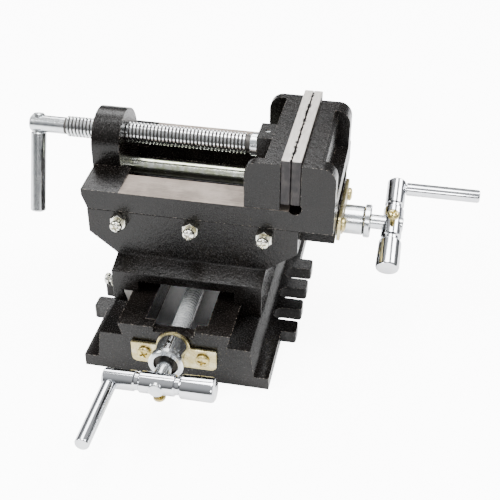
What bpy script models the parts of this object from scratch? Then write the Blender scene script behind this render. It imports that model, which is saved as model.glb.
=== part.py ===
"""Benchtop cross-slide vise: a base, a saddle and a vise body stacked on two dovetail slides.

Metres, +Z up. The underside of the base is Z = 0, the front crank's screw lies in the plane X = 0,
and Y = 0 is the middle of the base's front wall.
"""

from math import cos, pi, radians, sin

import bmesh
import bpy
from mathutils import Matrix, Vector

GAP = 0.0003
SLIDE_GAP = 0.0003
BORE_GAP = 0.0003
THREAD_GAP = 0.00005
WELD_REACH = 0.00003
CAST_ROUND = 0.0006
PLATE_ROUND = 0.0004
CUT_OVER = 0.010
JOIN_SINK = 0.004
SMALL_OVER = 0.002
HAIR = 0.0001
END_CHAMFER = 0.001

BASE_LENGTH = 0.185
FOOT_HALF = 0.0623
FOOT_THICK = 0.0092
WALL_FOOT_HALF = 0.0525
WALL_TOP_HALF = 0.0498
LEDGE_Z = 0.0307
RAIL_RISE = 0.0096
RAIL_NECK_HALF = 0.0346
RAIL_TOP_HALF = 0.0372
CHANNEL_TOP_HALF = 0.0205
CHANNEL_FOOT_HALF = 0.0290
END_WALL = 0.008
NOTCH_HALF = 0.0136
NOTCH_DEPTH = 0.0037
LUG_REACH = 0.0102
LUG_SLOT = 0.0125
LUG_PITCH = 0.0245
LUG_END = 0.0128
LUG_SLOT_DEPTH = 0.0190
LUG_ROUND = 0.0022

SADDLE_START = 0.0337
SADDLE_LENGTH = 0.1288
SADDLE_HALF = 0.0510
SHELF_FRONT_RISE = 0.0247
SHELF_REAR_RISE = 0.02895
SHELF_REACH = 0.0148
SHELF_ROOT = 0.010
SLAB_LEFT = 0.0695
SLAB_RIGHT = 0.0713
SLAB_SLOPE_RISE = 0.0151
SLAB_HEIGHT = 0.03335
X_GIB_HOLE_DEPTH = 0.020
Y_GIB_HOLE_DEPTH = 0.012
TUNNEL_HALF = 0.0327
TUNNEL_RISE = 0.0180
GIB_THICK = 0.0060
GIB_SHORT = 0.0005
GIB_FLOOR_GAP = 0.0006
X_GIB_BELOW_TOP = 0.0015
Y_GIB_BELOW_TOP = 0.0002

BODY_LEFT = 0.0722
BODY_RIGHT = 0.0935
JAW_WIDTH = 0.100
BODY_CHAMFER = 0.0034
BODY_CHAMFER_RISE = 0.010
BODY_CHAMFER_RUN = 0.026
BED_THICK = 0.0142
TROUGH_HALF = 0.0260
TROUGH_DEPTH = 0.0155
TONGUE_DEPTH = 0.0163
TONGUE_NECK_HALF = 0.0310
TONGUE_FOOT_HALF = 0.0355
SCREW_CHANNEL_HALF = 0.0100
SCREW_CHANNEL_UP = 0.0095
SCREW_CHANNEL_DOWN = 0.0080
BED_PAD_LENGTH = 0.0254
BED_PAD_RISE = 0.0020
CHIP_GROOVE_RADIUS = 0.0045
CHIP_GROOVE_LIFT = 0.0025

POST_LEFT = 0.0735
POST_THICK = 0.0195
POST_HALF = 0.0207
POST_RISE = 0.0335

FIXED_JAW_X = 0.0720
FIXED_JAW_RISE = 0.0330
FIXED_JAW_TOP = 0.0125
FIXED_JAW_SHORT = 0.0070
JAW_WALL = 0.0130
FRONT_RIB = 0.0100
REAR_RIB = 0.0140
RECESS_FLOOR_RISE = 0.0065
RECESS_FLOOR_FALL = 0.001
RECESS_LIP = 0.0022
JAW_ROUND_DROP = 0.0098

PLATE_THICK = 0.0061
PLATE_LIFT = 0.0048
PLATE_HEIGHT = 0.0315
PLATE_SCREW_PITCH = 0.0600
PLATE_SCREW_RADIUS = 0.0025
PLATE_HEAD_RADIUS = 0.0045
PLATE_HEAD_DEPTH = 0.0040
PLATE_HEAD_SINK = 0.0012
PLATE_SCREW_LENGTH = 0.0135

MOVING_JAW_THICK = 0.0109
MOVING_JAW_SHORT = 0.0020
WING_REACH = 0.0119
WING_THICK = 0.0064
WING_ROUND = 0.0090
BOSS_REACH = 0.0114
BOSS_HALF = 0.0105
BOSS_DROP = 0.0045
KEEL_HALF = 0.0255
KEEL_DEPTH = 0.0150

JAW_SCREW_RISE = 0.0175
JAW_SCREW_RADIUS = 0.0070
JAW_SCREW_LEFT = 0.0980
JAW_SCREW_STUB = 0.0250
JAW_STUB_RADIUS = 0.0058
JAW_COLLAR_RADIUS = 0.0078
JAW_COLLAR_LENGTH = 0.0045
JAW_TENON_RADIUS = 0.0045
JAW_TENON_LENGTH = 0.0125
JAW_HANDLE_X = 0.1178
JAW_HANDLE_RADIUS = 0.00525
JAW_HANDLE_NECK = 0.0040
JAW_HANDLE_UP = 0.0062
JAW_HANDLE_DOWN = 0.0620
JAW_HANDLE_TILT = radians(20.0)
RETAINER_RADIUS = 0.0020
RETAINER_SINK = 0.0006
GUIDE_RADIUS = 0.00575
GUIDE_DROP = 0.0080
GUIDE_LEFT = 0.0700

FRONT_SCREW_Z = 0.0286
SIDE_SCREW_DROP = 0.0025
LEAD_RADIUS = 0.0060
JOURNAL_RADIUS = 0.0050
LEAD_END_ROOM = 0.0010
SHAFT_PROUD = 0.0004
SHAFT_CHAMFER = 0.0006

BRACKET_THICK = 0.0024
BRACKET_HALF = 0.0284
BRACKET_REACH = 0.0166
BRACKET_RING = 0.0112
BRACKET_CORNER = 0.0040
BRACKET_FLAT = 0.0004
EAR_SPACING = 0.0388
EAR_DROP = 0.0078
EAR_SCREW_RADIUS = 0.0025
EAR_HEAD_RADIUS = 0.0045
EAR_HEAD_HEIGHT = 0.0026
EAR_SCREW_LENGTH = 0.0065
BUSHING_RADIUS = 0.0100
BUSHING_LENGTH = 0.0131
BUSHING_CHAMFER = 0.0006
OIL_HOLE_RADIUS = 0.0012
COLLAR_RADIUS = 0.0114
COLLAR_LENGTH = 0.0045
COLLAR_CHAMFER = 0.0008
COLLAR_SINK_RADIUS = 0.0080
COLLAR_SINK_DEPTH = 0.0020

FRONT_CRANK_OUT = 0.0375
SIDE_CRANK_OUT = 0.0355
CRANK_THIN = 0.0349
CRANK_THICK = 0.0364
CRANK_THIN_RADIUS = 0.0065
CRANK_HUB_RADIUS = 0.00685
CRANK_THICK_RADIUS = 0.0079
CRANK_GROOVE_RADIUS = 0.0056
CRANK_GROOVE = 0.0030
CRANK_HUB_HALF = 0.0110
CRANK_NOSE = 0.0018
CRANK_TAPER = 0.0003
CRANK_ROD_PLACE = 0.0295
CRANK_ROD_RADIUS = 0.0045
CRANK_ROD_LENGTH = 0.0566
CRANK_TENON_RADIUS = 0.0030
CRANK_TENON_SHORT = 0.0005
SET_SCREW_RADIUS = 0.0020
SET_HEAD_RADIUS = 0.0040
SET_HEAD_HEIGHT = 0.0030
SET_STAND_OFF = 0.0032
FRONT_CRANK_ANGLE = radians(-1.6)
SIDE_CRANK_ANGLE = radians(-24.0)

NUT_HALF = 0.0080
NUT_WIDTH_HALF = 0.0095
FRONT_NUT_DROP = 0.0078
SIDE_NUT_X = 0.0160
NUT_SCREW_RADIUS = 0.0030
NUT_SCREW_HEAD = 0.0052
NUT_SCREW_HEAD_DEPTH = 0.0030
NUT_SCREW_SINK = 0.0002
FRONT_NUT_BITE = 0.0060
SIDE_NUT_BITE = 0.0018

GIB_SCREW_PITCH = 0.0485
GIB_SCREW_SHIFT = 0.0015
GIB_SCREW_RADIUS = 0.0025
GIB_SCREW_BELOW_TOP = 0.0060
GIB_SCREW_RISE = 0.0050
LOCK_NUT_FLATS = 0.0100
LOCK_NUT_THICK = 0.0048
GIB_HEAD_RADIUS = 0.0040
GIB_HEAD_HEIGHT = 0.0034
GIB_STAND_OFF = 0.0026

BASE_FRONT = -END_WALL / 2
RAIL_TOP_Z = LEDGE_Z + RAIL_RISE
SADDLE_FRONT = BASE_FRONT + SADDLE_START
SADDLE_REAR = SADDLE_FRONT + SADDLE_LENGTH
MID_Y = (SADDLE_FRONT + SADDLE_REAR) / 2
SADDLE_Z = LEDGE_Z + SLIDE_GAP
SLAB_Z = SADDLE_Z + SHELF_REAR_RISE
SLAB_FRONT = SADDLE_FRONT + SHELF_REACH
SLAB_REAR = 2 * MID_Y - SLAB_FRONT
SLAB_TOP = SLAB_Z + SLAB_HEIGHT
TUNNEL_Z = SADDLE_Z + TUNNEL_RISE
BODY_Z = SLAB_TOP + SLIDE_GAP
BED_Z = BODY_Z + BED_THICK
JAW_FRONT = MID_Y - JAW_WIDTH / 2
JAW_REAR = MID_Y + JAW_WIDTH / 2
TONGUE_Z = BODY_Z - TONGUE_DEPTH
X_SLOT_Z = TONGUE_Z - SLIDE_GAP
SIDE_SCREW_Z = TONGUE_Z - SIDE_SCREW_DROP
CHANNEL_Z = SIDE_SCREW_Z - SCREW_CHANNEL_DOWN
JAW_SCREW_Z = BED_Z + JAW_SCREW_RISE
GUIDE_Z = BED_Z - GUIDE_DROP
FIXED_PLATE_X = FIXED_JAW_X - GAP
MOVING_PLATE_X = FIXED_PLATE_X - PLATE_THICK - GAP
MOVING_JAW_X = MOVING_PLATE_X - PLATE_THICK - GAP
MOVING_BACK_X = MOVING_JAW_X - MOVING_JAW_THICK
BOSS_X = MOVING_BACK_X - BOSS_REACH
PLATE_Z = BED_Z + PLATE_LIFT
PLATE_SCREW_Z = PLATE_Z + PLATE_HEIGHT / 2
BED_LEFT = -BODY_LEFT + BED_PAD_LENGTH


# Shared ways of making a solid

def material(name, colour, metallic, roughness):
    """A plain surface in one colour."""
    made = bpy.data.materials.new(name)
    made.use_nodes = True
    shader = made.node_tree.nodes["Principled BSDF"]
    shader.inputs["Base Color"].default_value = (*colour, 1.0)
    shader.inputs["Metallic"].default_value = metallic
    shader.inputs["Roughness"].default_value = roughness
    made.diffuse_color = (*colour, 1.0)
    return made


def add_prism(mesh, outline, axis, start, end):
    """Extrudes a flat outline along axis. The outline's pairs are the other two axes in X, Y, Z order."""
    def point(pair, along):
        values = list(pair)
        values.insert("XYZ".index(axis), along)
        return mesh.verts.new(values)

    face = mesh.faces.new([point(pair, start) for pair in outline])
    step = Vector([end - start if letter == axis else 0.0 for letter in "XYZ"])
    raised = bmesh.ops.extrude_face_region(mesh, geom=[face], use_keep_orig=True)
    moved = [item for item in raised["geom"] if isinstance(item, bmesh.types.BMVert)]
    bmesh.ops.translate(mesh, vec=step, verts=moved)


def add_box(mesh, low, high):
    """A block between two opposite corners."""
    outline = [(low[0], low[1]), (high[0], low[1]), (high[0], high[1]), (low[0], high[1])]
    add_prism(mesh, outline, "Z", low[2], high[2])


def add_turned(mesh, profile, place, direction, steps=32):
    """Turns (distance along, radius) pairs about a line from place. The profile starts and ends on it."""
    aim = Vector(direction).normalized()
    turn = Vector((0, 0, 1)).rotation_difference(aim).to_matrix().to_4x4()
    move = Matrix.Translation(place) @ turn
    rings = []
    for along, radius in profile:
        if radius == 0:
            rings.append([mesh.verts.new(move @ Vector((0, 0, along)))])
            continue
        rings.append([
            mesh.verts.new(move @ Vector((radius * cos(angle), radius * sin(angle), along)))
            for angle in (2 * pi * step / steps for step in range(steps))
        ])
    for lower, upper in zip(rings, rings[1:]):
        for step in range(steps):
            after = (step + 1) % steps
            corners = [lower[step % len(lower)], lower[after % len(lower)]]
            corners += [upper[after % len(upper)], upper[step % len(upper)]]
            mesh.faces.new(list(dict.fromkeys(corners)))


def add_rod(mesh, place, direction, start, end, radius, steps=32, chamfer=0.0):
    """A round bar from start to end along a line from place, with an optional chamfer on both ends."""
    if chamfer:
        ends = [(start, 0), (start, radius - chamfer), (start + chamfer, radius)]
        ends += [(end - chamfer, radius), (end, radius - chamfer), (end, 0)]
    else:
        ends = [(start, 0), (start, radius), (end, radius), (end, 0)]
    add_turned(mesh, ends, place, direction, steps)


def finish_mesh(mesh, name, origin=(0, 0, 0)):
    """Turns a bmesh in world places into an object whose own origin is at origin."""
    bmesh.ops.recalc_face_normals(mesh, faces=mesh.faces)
    bmesh.ops.translate(mesh, vec=-Vector(origin), verts=mesh.verts)
    data = bpy.data.meshes.new(name)
    mesh.to_mesh(data)
    mesh.free()
    made = bpy.data.objects.new(name, data)
    made.location = origin
    bpy.context.scene.collection.objects.link(made)
    return made


def helper(mesh, name):
    """A solid that only cuts or adds to another one."""
    made = finish_mesh(mesh, name)
    made.hide_render = True
    made.display_type = "WIRE"
    return made


def piece(mesh, name, surface, origin=(0, 0, 0)):
    """A named solid with its surface."""
    made = finish_mesh(mesh, name, origin)
    made.data.materials.append(surface)
    return made


def combine(target, other, operation):
    """Cuts other out of target, or joins it on."""
    step = target.modifiers.new(other.name, "BOOLEAN")
    step.operation = operation
    step.solver = "EXACT"
    step.object = other


def cut(target, mesh, name):
    combine(target, helper(mesh, f"{target.name}_{name}"), "DIFFERENCE")


def join(target, mesh, name):
    combine(target, helper(mesh, f"{target.name}_{name}"), "UNION")


def soften(target, width, segments=2, angle=40.0):
    """Rounds the edges that are sharper than angle."""
    step = target.modifiers.new("soften", "BEVEL")
    step.width = width
    step.segments = segments
    step.limit_method = "ANGLE"
    step.angle_limit = radians(angle)
    step.use_clamp_overlap = True
    close = target.modifiers.new("close", "WELD")
    close.merge_threshold = WELD_REACH


def mirrored(outline):
    """Right half of an outline about the first axis's zero, completed with its left half."""
    return outline + [(-across, up) for across, up in reversed(outline)]


# Surfaces

ENAMEL = (0.012, 0.012, 0.014)


def cast_enamel(name):
    return material(name, ENAMEL, 0.0, 0.38)


def bright_steel(name):
    return material(name, (0.62, 0.62, 0.60), 1.0, 0.22)


def zinc(name):
    return material(name, (0.55, 0.58, 0.60), 1.0, 0.34)


def gold_zinc(name):
    return material(name, (0.60, 0.52, 0.32), 1.0, 0.36)


def chrome(name):
    return material(name, (0.75, 0.75, 0.76), 1.0, 0.10)


def bronze(name):
    return material(name, (0.45, 0.28, 0.12), 1.0, 0.38)


# Base

def rounded_corner(across, along, turn, side):
    """Quarter arc that replaces an outer lug corner. turn is -1 at the lug's front edge and 1 at its rear."""
    points = []
    for step in range(4):
        angle = pi / 2 * step / 3
        points.append((across - LUG_ROUND * (1 - sin(angle)), along - turn * LUG_ROUND * (1 - cos(angle))))
    return points if side < 0 else points[::-1]


def foot_outline(middle, rear):
    """Plan of the foot: a rectangle with a group of lugs on each long side and open round-ended slots."""
    reach = FOOT_HALF + LUG_REACH
    root = reach - LUG_SLOT_DEPTH + LUG_SLOT / 2
    group_half = LUG_PITCH + LUG_SLOT / 2 + LUG_END
    right = [(FOOT_HALF, BASE_FRONT), (FOOT_HALF, middle - group_half)]
    right += rounded_corner(reach, middle - group_half, -1, -1)
    for place in (-1, 0, 1):
        centre = middle + place * LUG_PITCH
        right += rounded_corner(reach, centre - LUG_SLOT / 2, 1, 1)
        for step in range(13):
            angle = -pi / 2 - pi * step / 12
            right.append((root + LUG_SLOT / 2 * cos(angle), centre + LUG_SLOT / 2 * sin(angle)))
        right += rounded_corner(reach, centre + LUG_SLOT / 2, -1, -1)
    right += rounded_corner(reach, middle + group_half, 1, 1)
    right += [(FOOT_HALF, middle + group_half), (FOOT_HALF, rear)]
    return mirrored(right)


def base():
    """Cast base: two dovetail rails on side walls, tied by an end wall at each end, with slotted lugs."""
    rear = BASE_FRONT + BASE_LENGTH
    middle = BASE_FRONT + BASE_LENGTH / 2
    mesh = bmesh.new()
    add_prism(mesh, foot_outline(middle, rear), "Z", 0, FOOT_THICK)
    made = piece(mesh, "base", cast_enamel("base_enamel"))

    half = [(WALL_FOOT_HALF, FOOT_THICK - SMALL_OVER), (WALL_FOOT_HALF, FOOT_THICK)]
    half += [(WALL_TOP_HALF, LEDGE_Z)]
    half += [(RAIL_NECK_HALF, LEDGE_Z), (RAIL_TOP_HALF, RAIL_TOP_Z)]
    mesh = bmesh.new()
    add_prism(mesh, mirrored(half), "Y", BASE_FRONT, rear)
    join(made, mesh, "walls")

    slope = (CHANNEL_FOOT_HALF - CHANNEL_TOP_HALF) / RAIL_TOP_Z
    spread = slope * SMALL_OVER
    channel = [(CHANNEL_FOOT_HALF + spread, -SMALL_OVER)]
    channel += [(CHANNEL_TOP_HALF - spread, RAIL_TOP_Z + SMALL_OVER)]
    mesh = bmesh.new()
    add_prism(mesh, mirrored(channel), "Y", BASE_FRONT + END_WALL, rear - END_WALL)
    cut(made, mesh, "channel")
    soften(made, CAST_ROUND)

    mesh = bmesh.new()
    add_box(mesh, (-NOTCH_HALF, BASE_FRONT - CUT_OVER, RAIL_TOP_Z - NOTCH_DEPTH),
            (NOTCH_HALF, BASE_FRONT + END_WALL + SMALL_OVER, RAIL_TOP_Z + CUT_OVER))
    add_rod(mesh, (0, 0, FRONT_SCREW_Z), (0, 1, 0), -END_WALL, END_WALL, JOURNAL_RADIUS + BORE_GAP)
    for across, up in ear_places():
        add_rod(mesh, (across, BASE_FRONT, FRONT_SCREW_Z - up), (0, 1, 0),
                -SMALL_OVER, EAR_SCREW_LENGTH, EAR_SCREW_RADIUS + THREAD_GAP, 20)
    cut(made, mesh, "front_holes")
    return made


def ear_places():
    """Across and below the shaft, for the two screws of a bracket."""
    return [(side * EAR_SPACING / 2, EAR_DROP) for side in (-1, 1)]


# Saddle

def saddle():
    """Casting between the two slides: legs and tunnel below, slab with a crosswise dovetail slot above."""
    mesh = bmesh.new()
    shelf_front = SADDLE_Z + SHELF_FRONT_RISE
    side = [(SADDLE_FRONT, SADDLE_Z), (SADDLE_FRONT, shelf_front), (SLAB_FRONT, SLAB_Z)]
    side += [(SLAB_FRONT, SLAB_Z + SHELF_ROOT), (SLAB_REAR, SLAB_Z + SHELF_ROOT), (SLAB_REAR, SLAB_Z)]
    side += [(SADDLE_REAR, shelf_front), (SADDLE_REAR, SADDLE_Z)]
    add_prism(mesh, side, "X", -SADDLE_HALF, SADDLE_HALF)
    made = piece(mesh, "saddle", cast_enamel("saddle_enamel"))

    slope_z = SLAB_Z + SLAB_SLOPE_RISE
    slab = [(-SADDLE_HALF, SLAB_Z), (SADDLE_HALF, SLAB_Z), (SLAB_RIGHT, slope_z)]
    slab += [(SLAB_RIGHT, SLAB_TOP), (-SLAB_LEFT, SLAB_TOP), (-SLAB_LEFT, slope_z)]
    mesh = bmesh.new()
    add_prism(mesh, slab, "Y", SLAB_FRONT, SLAB_REAR)
    join(made, mesh, "slab")

    room = GIB_THICK + 2 * SLIDE_GAP
    lean = rail_lean()
    neck = RAIL_NECK_HALF - lean * SMALL_OVER
    slot = [(neck + SLIDE_GAP, LEDGE_Z - SMALL_OVER), (RAIL_TOP_HALF + SLIDE_GAP, RAIL_TOP_Z + SLIDE_GAP)]
    slot += [(TUNNEL_HALF, RAIL_TOP_Z + SLIDE_GAP), (TUNNEL_HALF, TUNNEL_Z)]
    slot += [(-TUNNEL_HALF, TUNNEL_Z), (-TUNNEL_HALF, RAIL_TOP_Z + SLIDE_GAP)]
    slot += [(-RAIL_TOP_HALF - room, RAIL_TOP_Z + SLIDE_GAP), (-neck - room, LEDGE_Z - SMALL_OVER)]
    mesh = bmesh.new()
    add_prism(mesh, slot, "Y", SADDLE_FRONT - CUT_OVER, SADDLE_REAR + CUT_OVER)
    cut(made, mesh, "lower_slot")

    neck = TONGUE_NECK_HALF - tongue_lean() * SMALL_OVER
    slot = [(MID_Y - neck - room, SLAB_TOP + SMALL_OVER)]
    slot += [(MID_Y + neck + SLIDE_GAP, SLAB_TOP + SMALL_OVER)]
    slot += [(MID_Y + TONGUE_FOOT_HALF + SLIDE_GAP, X_SLOT_Z), (MID_Y + SCREW_CHANNEL_HALF, X_SLOT_Z)]
    slot += [(MID_Y + SCREW_CHANNEL_HALF, CHANNEL_Z), (MID_Y - SCREW_CHANNEL_HALF, CHANNEL_Z)]
    slot += [(MID_Y - SCREW_CHANNEL_HALF, X_SLOT_Z), (MID_Y - TONGUE_FOOT_HALF - room, X_SLOT_Z)]
    mesh = bmesh.new()
    add_prism(mesh, slot, "X", -SLAB_LEFT - CUT_OVER, SLAB_RIGHT + CUT_OVER)
    cut(made, mesh, "upper_slot")
    soften(made, CAST_ROUND)

    mesh = bmesh.new()
    for across in gib_places():
        add_rod(mesh, (across, SLAB_FRONT, x_gib_screw_z()), (0, 1, 0), -SMALL_OVER, X_GIB_HOLE_DEPTH,
                GIB_SCREW_RADIUS + THREAD_GAP, 20)
    for along in y_gib_places():
        add_rod(mesh, (-SADDLE_HALF, along, y_gib_screw_z()), (1, 0, 0), -SMALL_OVER, Y_GIB_HOLE_DEPTH,
                GIB_SCREW_RADIUS + THREAD_GAP, 20)
    for across, top in ((0, True), (SIDE_NUT_X, False)):
        add_turned(mesh, nut_screw_profile(0, BORE_GAP, SMALL_OVER), nut_screw_place(across, top),
                   (0, 0, -1 if top else 1), 24)
    cut(made, mesh, "screw_holes")
    return made


def rail_lean():
    """How far a rail widens for each metre up."""
    return (RAIL_TOP_HALF - RAIL_NECK_HALF) / RAIL_RISE


def tongue_lean():
    """How far the tongue widens for each metre down."""
    return (TONGUE_FOOT_HALF - TONGUE_NECK_HALF) / TONGUE_DEPTH


def gib_places():
    return [GIB_SCREW_SHIFT + place * GIB_SCREW_PITCH for place in (-1, 0, 1)]


def y_gib_places():
    return [MID_Y + place * GIB_SCREW_PITCH for place in (-1, 0, 1)]


def x_gib_screw_z():
    return SLAB_TOP - GIB_SCREW_BELOW_TOP


def y_gib_screw_z():
    return SADDLE_Z + GIB_SCREW_RISE


def nut_screw_place(across, top):
    """Where a nut's screw starts: the floor of the upper channel, or the tunnel's ceiling."""
    return (across, MID_Y, CHANNEL_Z if top else TUNNEL_Z)


def nut_screw_profile(bite, room, over):
    """Countersunk screw through the web between tunnel and channel, reaching bite into its nut."""
    end = CHANNEL_Z - TUNNEL_Z + bite + over
    head = [(-over, 0), (-over, NUT_SCREW_HEAD + room)] if over else [(NUT_SCREW_SINK, 0)]
    return head + [(NUT_SCREW_SINK, NUT_SCREW_HEAD + room), (NUT_SCREW_HEAD_DEPTH, NUT_SCREW_RADIUS + room),
                   (end, NUT_SCREW_RADIUS + room), (end, 0)]


# Gibs with their screws and lock nuts

def gibs():
    """Flat adjusting strips, each filling the slot between a dovetail and the saddle's wall."""
    top = SLAB_TOP - X_GIB_BELOW_TOP
    low = X_SLOT_Z + GIB_FLOOR_GAP
    outline = []
    for up, extra in ((low, 0), (top, 0), (top, GIB_THICK), (low, GIB_THICK)):
        half = TONGUE_FOOT_HALF - tongue_lean() * (up - TONGUE_Z)
        outline.append((MID_Y - half - SLIDE_GAP - extra, up))
    mesh = bmesh.new()
    add_prism(mesh, outline, "X", -SLAB_LEFT + GIB_SHORT, SLAB_RIGHT - GIB_SHORT)
    piece(mesh, "x_gib", bright_steel("x_gib_steel"))

    top = RAIL_TOP_Z - Y_GIB_BELOW_TOP
    low = LEDGE_Z + GIB_FLOOR_GAP
    outline = []
    for up, extra in ((low, 0), (top, 0), (top, GIB_THICK), (low, GIB_THICK)):
        half = RAIL_NECK_HALF + rail_lean() * (up - LEDGE_Z)
        outline.append((-half - SLIDE_GAP - extra, up))
    mesh = bmesh.new()
    add_prism(mesh, outline, "Y", SADDLE_FRONT + GIB_SHORT, SADDLE_REAR - GIB_SHORT)
    piece(mesh, "y_gib", bright_steel("y_gib_steel"))


def gib_screw(name, face, tip, direction):
    """Adjusting screw with its lock nut outside the wall. face is the wall's outside, tip the gib's side."""
    inward = (Vector(tip) - Vector(face)).dot(Vector(direction)) - GAP
    out = -(GAP + LOCK_NUT_THICK)
    under = out - GIB_STAND_OFF
    crown = under - GIB_HEAD_HEIGHT
    profile = [(inward, 0), (inward, GIB_SCREW_RADIUS), (under, GIB_SCREW_RADIUS), (under, GIB_HEAD_RADIUS)]
    profile += [(under - 0.6 * GIB_HEAD_HEIGHT, GIB_HEAD_RADIUS), (crown, 0.6 * GIB_HEAD_RADIUS), (crown, 0)]
    mesh = bmesh.new()
    add_turned(mesh, profile, face, direction, 24)
    piece(mesh, name, gold_zinc(f"{name}_zinc"))

    mesh = bmesh.new()
    radius = LOCK_NUT_FLATS / 2 / cos(pi / 6)
    add_rod(mesh, face, direction, out, -GAP, radius, 6)
    nut = piece(mesh, name.replace("screw", "lock_nut"), gold_zinc(f"{name}_nut_zinc"))
    mesh = bmesh.new()
    add_rod(mesh, face, direction, out - SMALL_OVER, SMALL_OVER, GIB_SCREW_RADIUS + THREAD_GAP, 24)
    cut(nut, mesh, "thread")


def gib_screws():
    """Three screws along each gib, stopping just short of its slanted back."""
    up = x_gib_screw_z()
    half = TONGUE_FOOT_HALF - tongue_lean() * (up - GIB_SCREW_RADIUS - TONGUE_Z)
    tip = MID_Y - half - SLIDE_GAP - GIB_THICK
    for number, across in enumerate(gib_places(), 1):
        gib_screw(f"x_gib_screw_{number}", (across, SLAB_FRONT, up), (across, tip, up), (0, 1, 0))
    up = y_gib_screw_z()
    half = RAIL_NECK_HALF + rail_lean() * (up + GIB_SCREW_RADIUS - LEDGE_Z)
    tip = -half - SLIDE_GAP - GIB_THICK
    for number, along in enumerate(y_gib_places(), 1):
        gib_screw(f"y_gib_screw_{number}", (-SADDLE_HALF, along, up), (tip, along, up), (1, 0, 0))


# Vise body

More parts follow.
